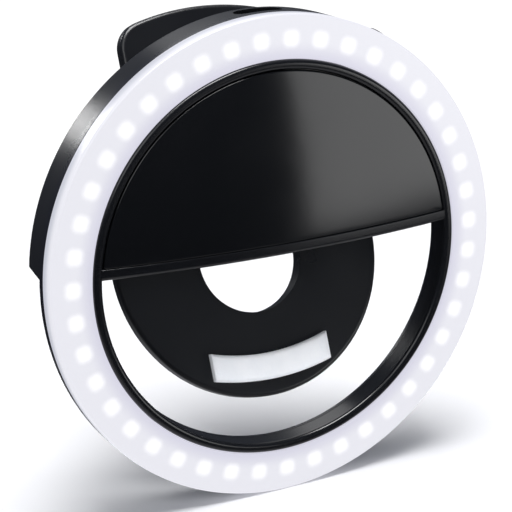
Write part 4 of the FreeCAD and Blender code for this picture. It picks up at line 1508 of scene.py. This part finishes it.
@dataclass
class Clip:
    """Jaw and finger lever in one moulding, leaning about the hinge pin."""

    pin: Flat = (8.6, 9.0)
    tilt: float = 20.9
    face: float = 3.1
    thick: float = 2.8
    edge: float = 0.8
    jaw_drop: float = 10.23
    jaw: float = 25.7
    lens_drop: float = 10.97
    lens: float = 9.9
    lever_half: float = 16.8
    lever_top: float = 34.9
    lever_arc: float = 48.0
    corner: float = 5.0
    waist: float = 6.0
    knuckle: Flat = (5.2, 8.3)
    knuckle_radius: float = 2.3
    bore: float = 1.05
    toe: Flat = (2.5, 1.2)
    pad_half: float = 11.5
    pad_arc: float = 42.0
    pad_drop: float = 30.6
    pad_width: float = 4.7
    pad_thick: float = 1.6
    pad_grid: tuple[int, int] = (46, 12)
    pad_flat: float = 0.72
    pad_squareness: Flat = (26.0, 9.0)
    groove_count: int = 6
    groove_first: float = 17.0
    groove_pitch: float = 2.3
    groove_half: Flat = (10.5, 0.35)
    groove_width: float = 0.55
    groove_depth: float = 0.42
    groove_edge: float = 0.3
    knuckle_root: float = 0.4
    far: float = 20.0
    hole_steps: int = 144

    def lean(self) -> Matrix:
        """From the clip's own frame at the pin to the ring's frame."""
        turn = Matrix.Rotation(math.radians(-self.tilt), 4, "X")
        return Matrix.Translation((0.0, *self.pin)) @ turn

    def outline(self) -> list[Flat]:
        """The plate seen from behind the phone: round jaw, waist and lever.

        Returns:
            Points across and up from the pin, anticlockwise.
        """
        side = self.lever_half
        low = -self.jaw_drop
        reach = self.jaw + self.waist
        hollow = (side + self.waist, low + math.sqrt(reach**2 - (side + self.waist) ** 2))
        meet = math.degrees(math.atan2(hollow[1] - low, hollow[0]))
        arc_up = self.lever_top - self.lever_arc
        inner = self.lever_arc - self.corner
        knee = (side - self.corner, arc_up + math.sqrt(inner**2 - (side - self.corner) ** 2))
        turn = math.degrees(math.atan2(knee[1] - arc_up, knee[0]))
        right = [
            *arc((0.0, low), self.jaw, -90, meet, 64)[1:],
            *arc(hollow, self.waist, 180 + meet, 180, 12)[1:],
            *arc(knee, self.corner, 0, turn, 14),
            *arc((0.0, arc_up), self.lever_arc, turn, 90, 16)[1:],
        ]
        left = [(-across, up) for across, up in reversed(right[:-1])]
        return [(0.0, low - self.jaw), *right, *left]

    def build(self) -> None:
        """Makes the clip and its pad."""
        self.add_plate()
        self.add_pad()

    def add_plate(self) -> None:
        """Plate with the lens hole, knuckles, stop toes and finger grooves."""
        edge = self.edge
        plate = pushed(
            "jaw_and_lever", self.outline(), (self.face, self.face + self.thick), Axis.Y,
            (edge, edge), 6,
        )
        hole = rod(
            "lens_hole", self.lens, (-self.far, self.far), (0.0, -self.lens_drop),
            steps=self.hole_steps,
        )
        combined(plate, Blend.CUT, hole)
        flip = Matrix.Rotation(math.pi, 4, "X")
        longest, step = self.groove_half
        grooves: list[Piece] = []
        for i in range(self.groove_count):
            groove = pushed(
                "groove", capsule(longest - step * i, self.groove_width),
                (-1.0, self.groove_depth), Axis.Y, (0.0, self.groove_edge),
            )
            height = self.groove_first + self.groove_pitch * i
            shift = Matrix.Translation((0.0, self.face + self.thick, height))
            groove.data.transform(shift @ flip)
            grooves.append(groove)
        combined(plate, Blend.CUT, *grooves)
        combined(plate, Blend.FUSE, *self.knuckles())
        bore = rod("knuckle_bore", self.bore, (-self.far, self.far), (0.0, 0.0), Axis.X)
        combined(plate, Blend.CUT, bore)
        softened(plate, 0.16)
        plate.data.transform(self.lean())
        finish_piece(plate, SHADED_CLIP_SATIN, Body.JAW, Slot.SATIN, "clip")

    def knuckles(self) -> list[Piece]:
        """The two knuckles on the pin, each with its stop toe.

        Returns:
            The right knuckle and the left one.
        """
        radius, root = self.knuckle_radius, self.face + self.knuckle_root
        reach, top = self.toe
        outline = [
            (-reach, -radius), (root, -radius), (root, radius),
            *arc((0.0, 0.0), radius, 90, 180 + math.degrees(math.asin(top / radius)), 16),
            (-reach, -top),
        ]
        near, far = self.knuckle
        return [
            pushed("right_knuckle", outline, (near, far), Axis.X),
            pushed("left_knuckle", outline, (-far, -near), Axis.X),
        ]

    def add_pad(self) -> None:
        """Curved foam strip, a little proud in the middle and pulled in at its rims."""
        columns, rows = self.pad_grid
        end_power, rim_power = self.pad_squareness
        centre = self.pad_arc - self.pad_drop
        sheets: list[list[Place]] = []
        for back in (False, True):
            sheet = []
            for i in range(columns + 1):
                share = 2 * i / columns - 1
                across = self.pad_half * share
                for j in range(rows + 1):
                    wide = 2 * j / rows - 1
                    radius = self.pad_arc + wide * self.pad_width / 2
                    up = centre - math.sqrt(radius**2 - across**2)
                    ends = (1 - abs(share) ** end_power) ** 0.5
                    rims = (1 - abs(wide) ** rim_power) ** 0.5
                    swell = self.pad_flat + (1 - self.pad_flat) * min(ends, rims)
                    depth = self.face + 0.02 if back else self.face - self.pad_thick * swell
                    sheet.append((across, depth, up))
            sheets.append(sheet)
        points = [*sheets[0], *sheets[1]]
        faces: list[Sequence[int]] = []
        line = rows + 1
        total = len(sheets[0])
        for i in range(columns):
            for j in range(rows):
                a = i * line + j
                faces.append((a, a + 1, a + line + 1, a + line))
                faces.append((a + total, a + line + total, a + line + 1 + total, a + 1 + total))
        border = [
            *[i * line for i in range(columns)], *[columns * line + j for j in range(rows)],
            *[i * line + rows for i in range(columns, 0, -1)], *[j for j in range(rows, 0, -1)],
        ]
        for first, second in zip(border, [*border[1:], border[0]]):
            faces.append((first, second, second + total, first + total))
        pad = solid("foam_pad", points, faces)
        pad.data.transform(self.lean())
        finish_piece(pad, FOAM, Body.JAW, Slot.FOAM, "jaw_pad", angle=50.0)


@dataclass
class Hinge:
    """Steel pin and torsion spring between the housing and the clip."""

    pin: Flat = (8.6, 9.0)
    pin_radius: float = 1.0
    pin_half: float = 11.9
    pin_edge: float = 0.18
    leg_steps: int = 10
    curl: float = 70.0
    wire: float = 0.4
    coil: float = 1.85
    pitch: float = 0.95
    turns: float = 8.0
    leg: float = 11.0
    housing_lean: float = 5.2
    lever_lean: float = -24.9
    steps: int = 28

    def build(self) -> None:
        """Makes the pin and both parts of the spring."""
        self.add_pin()
        self.add_coil()
        self.add_lever_leg()

    def on_coil(self, across: float, turn: float) -> Place:
        """A point of the coil's middle line.

        Args:
            across: its place along the pin.
            turn: its angle from the front of the pin, in degrees.

        Returns:
            The point.
        """
        angle = math.radians(turn)
        depth, height = self.pin
        return (across, depth - self.coil * math.cos(angle), height - self.coil * math.sin(angle))

    def add_pin(self) -> None:
        """Plain pin with broken edges at its ends."""
        pin = pushed(
            "hinge_pin_turned", arc(self.pin, self.pin_radius, 0, 352.5, CIRCLE - 1),
            (-self.pin_half, self.pin_half), Axis.X, (self.pin_edge, self.pin_edge), 2,
        )
        finish_piece(pin, PIN_STEEL, Body.HOUSING, Slot.STEEL, "hinge_pin")

    def leg_end(self, start: Place, lean: float) -> list[Place]:
        """A straight leg from a point of the coil.

        Args:
            start: where it leaves the coil.
            lean: degrees that it leans forwards from upright.

        Returns:
            Points along the leg, its start left out.
        """
        angle = math.radians(lean)
        way = Vector((0.0, -math.sin(angle), math.cos(angle)))
        first = Vector(start)
        step = self.leg / self.leg_steps
        return [tuple(first + way * step * i) for i in range(1, self.leg_steps + 1)]

    def add_coil(self) -> None:
        """The coil and the leg that presses on the housing."""
        half = self.pitch * self.turns / 2
        count = int(self.turns * self.steps)
        lean = self.housing_lean
        span = 360.0 * self.turns + self.lever_lean - lean + 180.0
        span -= 360.0 * round((span - 360.0 * self.turns) / 360.0)
        coil = [
            self.on_coil(-half + 2 * half * i / count, lean + span * i / count)
            for i in range(count + 1)
        ]
        line = [*reversed(self.leg_end(coil[0], lean)), *coil]
        spring = tube("spring_coil", line, self.wire)
        finish_piece(spring, PIN_STEEL, Body.HOUSING, Slot.STEEL, "torsion_spring", angle=60.0)

    def add_lever_leg(self) -> None:
        """The leg that presses on the lever, with the last part of a turn behind it."""
        half = self.pitch * self.turns / 2
        end = self.lever_lean + 180.0
        back = [self.curl * (1 - i / self.leg_steps) for i in range(self.leg_steps + 1)]
        curl = [self.on_coil(half, end - turn) for turn in back]
        leg = tube("spring_lever_leg", [*curl, *self.leg_end(curl[-1], self.lever_lean)], self.wire)
        finish_piece(leg, PIN_STEEL, Body.JAW, Slot.STEEL, "torsion_spring", angle=60.0)


# ------------------------------------------------------------------ studio


@dataclass(frozen=True)
class Lamp:
    """A soft rectangular light, with its place, aim and size in metres."""

    name: str
    place: Place
    size: Flat
    watts: float
    aim: Place = (0.0, 0.0, 0.0)
    roll: float = 0.0

    def build(self) -> None:
        """Hangs the lamp in its place, turned to its aim and rolled in its own plane."""
        data = bpy.data.lights.new(self.name, "AREA")
        data.shape = "RECTANGLE"
        data.size, data.size_y = self.size
        data.energy = self.watts
        lamp = bpy.data.objects.new(self.name, data)
        lamp.location = self.place
        lamp.rotation_mode = "QUATERNION"
        look = (Vector(self.aim) - Vector(self.place)).to_track_quat("-Z", "Y")
        lamp.rotation_quaternion = look @ Quaternion((0, 0, 1), math.radians(self.roll))
        bpy.context.scene.collection.objects.link(lamp)
        LOG.info("%s lamp: %.1f W", self.name, self.watts)


LAMPS = (
    # Nearly straight above: the main light, with a soft shadow close to the ring.
    Lamp("overhead", place=(-0.03, -0.13, 1.0), size=(0.6, 0.6), watts=17.5),
    # Front left: lifts the milky cover and the pad a little.
    Lamp("fill", place=(-0.75, -0.85, 0.75), size=(0.8, 0.8), watts=4.0),
    # Behind: the short bright sheen on the upper left of the channel's wall.
    Lamp("rim", place=(-0.305, 0.91, 0.335), size=(0.14, 0.07), watts=0.8,
         aim=(-0.03, 0.0, 0.03), roll=-48.0),
    # Behind and above: shows the clip and the cover from the back.
    Lamp("back", place=(0.35, 0.85, 0.75), size=(0.7, 0.5), watts=1.6),
    # Front right: the grey window that the glossy panel mirrors on its right half.
    Lamp("side", place=(0.80, -0.86, -0.052), size=(0.57, 0.43), watts=1.9,
         aim=(0.0, 0.0, 0.02), roll=8.0),
)


@dataclass(frozen=True)
class Studio:
    """Pale floor, sky, lamps and camera; lengths in millimetres."""

    floor_height: float = -42.5
    floor_half: float = 6000.0
    camera: Place = (-133.73, -257.77, 89.69)
    aim: Place = (-5.0, -4.6, 1.8)
    roll: float = -1.7
    lens: float = 122.9
    sweep: Flat = (50.0, 300.0)
    floor_glow: Flat = (0.0, 1.1)
    floor_near: str = "d6d6d8"
    floor_far: str = "202020"
    sky_low: str = "2e3036"
    sky_high: str = "686e7a"
    sky_under: str = "c8c8cc"
    sky_span: Flat = (-0.3, 0.9)
    under_span: Flat = (-0.45, -0.75)

    def build(self) -> None:
        """Makes the floor, the sky, the lamps and the camera."""
        self.add_floor()
        self.add_sky()
        for lamp in LAMPS:
            lamp.build()
        self.add_camera()
        bpy.context.scene.view_settings.view_transform = "Standard"

    def add_floor(self) -> None:
        """A large pale sheet under the ring."""
        half, height = self.floor_half * MM, self.floor_height * MM
        corners = [(-half, -half, height), (half, -half, height), (half, half, height),
                   (-half, half, height)]
        mesh = bpy.data.meshes.new("floor")
        mesh.from_pydata(corners, [], [(0, 1, 2, 3)])
        floor = bpy.data.objects.new("floor", mesh)
        bpy.context.scene.collection.objects.link(floor)
        mesh.materials.append(self.paper())
        floor.visible_glossy = False
        floor.visible_shadow = False

    def paper(self) -> bpy.types.Material:
        """White paper that takes a shadow near the ring and glows far away from it.

        Returns:
            The material.
        """
        made = bpy.data.materials.new("white paper sweep")
        made.use_nodes = True
        tree = made.node_tree
        place = add_node(tree, "ShaderNodeTexCoord").outputs["Object"]
        away = add_node(
            tree, "ShaderNodeVectorMath", {"operation": "LENGTH"}, {0: place}
        ).outputs["Value"]
        share = add_node(
            tree, "ShaderNodeMapRange", SMOOTH,
            {"Value": away, 1: self.sweep[0] * MM, 2: self.sweep[1] * MM},
        ).outputs[0]
        near, far = self.floor_glow
        glow = add_node(
            tree, "ShaderNodeMapRange", inputs={"Value": share, 3: near, 4: far}
        ).outputs[0]
        base = add_node(
            tree, "ShaderNodeMix", COLOURS,
            {0: share, INK: linear(self.floor_near), TOP: linear(self.floor_far)},
        ).outputs[MIXED]
        feed(tree, tree.nodes["Principled BSDF"], {
            "Base Color": base, "Emission Strength": glow, "Emission Color": linear("ffffff"),
            "Roughness": 0.9, "Specular IOR Level": 0.1,
        })
        return made

    def add_sky(self) -> None:
        """White behind the object; in its reflections a dim room over a pale floor."""
        world = bpy.data.worlds.new("studio")
        world.use_nodes = True
        tree = world.node_tree
        tree.nodes.clear()
        place = add_node(tree, "ShaderNodeTexCoord").outputs["Generated"]
        up = add_node(tree, "ShaderNodeSeparateXYZ", inputs={0: place}).outputs[2]
        shade: Socket | tuple[float, ...] = linear(self.sky_low)
        for (start, stop), code in ((self.sky_span, self.sky_high), (self.under_span, self.sky_under)):
            share = add_node(tree, "ShaderNodeMapRange", inputs={"Value": up, 1: start, 2: stop})
            shade = add_node(
                tree, "ShaderNodeMix", COLOURS, {0: share.outputs[0], INK: shade, TOP: linear(code)}
            ).outputs[MIXED]
        dim = add_node(tree, "ShaderNodeBackground", inputs={0: shade, 1: 1.0})
        white = add_node(tree, "ShaderNodeBackground", inputs={0: linear("ffffff"), 1: 1.0})
        seen = add_node(tree, "ShaderNodeLightPath").outputs["Is Camera Ray"]
        both = add_node(
            tree, "ShaderNodeMixShader", inputs={0: seen, 1: dim.outputs[0], 2: white.outputs[0]}
        )
        add_node(tree, "ShaderNodeOutputWorld", inputs={0: both.outputs[0]})
        bpy.context.scene.world = world

    def add_camera(self) -> None:
        """A long lens, a little above and to the left of the light."""
        data = bpy.data.cameras.new("camera")
        data.lens = self.lens
        data.sensor_width = 36.0
        data.clip_start = 0.01
        camera = bpy.data.objects.new("camera", data)
        place = Vector(self.camera) * MM
        look = (Vector(self.aim) * MM - place).to_track_quat("-Z", "Y")
        camera.rotation_mode = "QUATERNION"
        camera.location = place
        camera.rotation_quaternion = look @ Quaternion((0, 0, 1), math.radians(self.roll))
        bpy.context.scene.collection.objects.link(camera)
        bpy.context.scene.camera = camera


def main() -> None:
    """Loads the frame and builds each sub-assembly around it."""
    logging.basicConfig(level=logging.INFO, format="%(name)s: %(message)s")
    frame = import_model()
    Studio().build()
    underside = Underside()
    LightRing(underside).build(frame)
    FrontHalf(underside).build()
    RearHousing(underside).build(frame)
    Electronics().build(frame)
    Clip().build()
    Hinge().build()


if __name__ == "__main__":
    main()
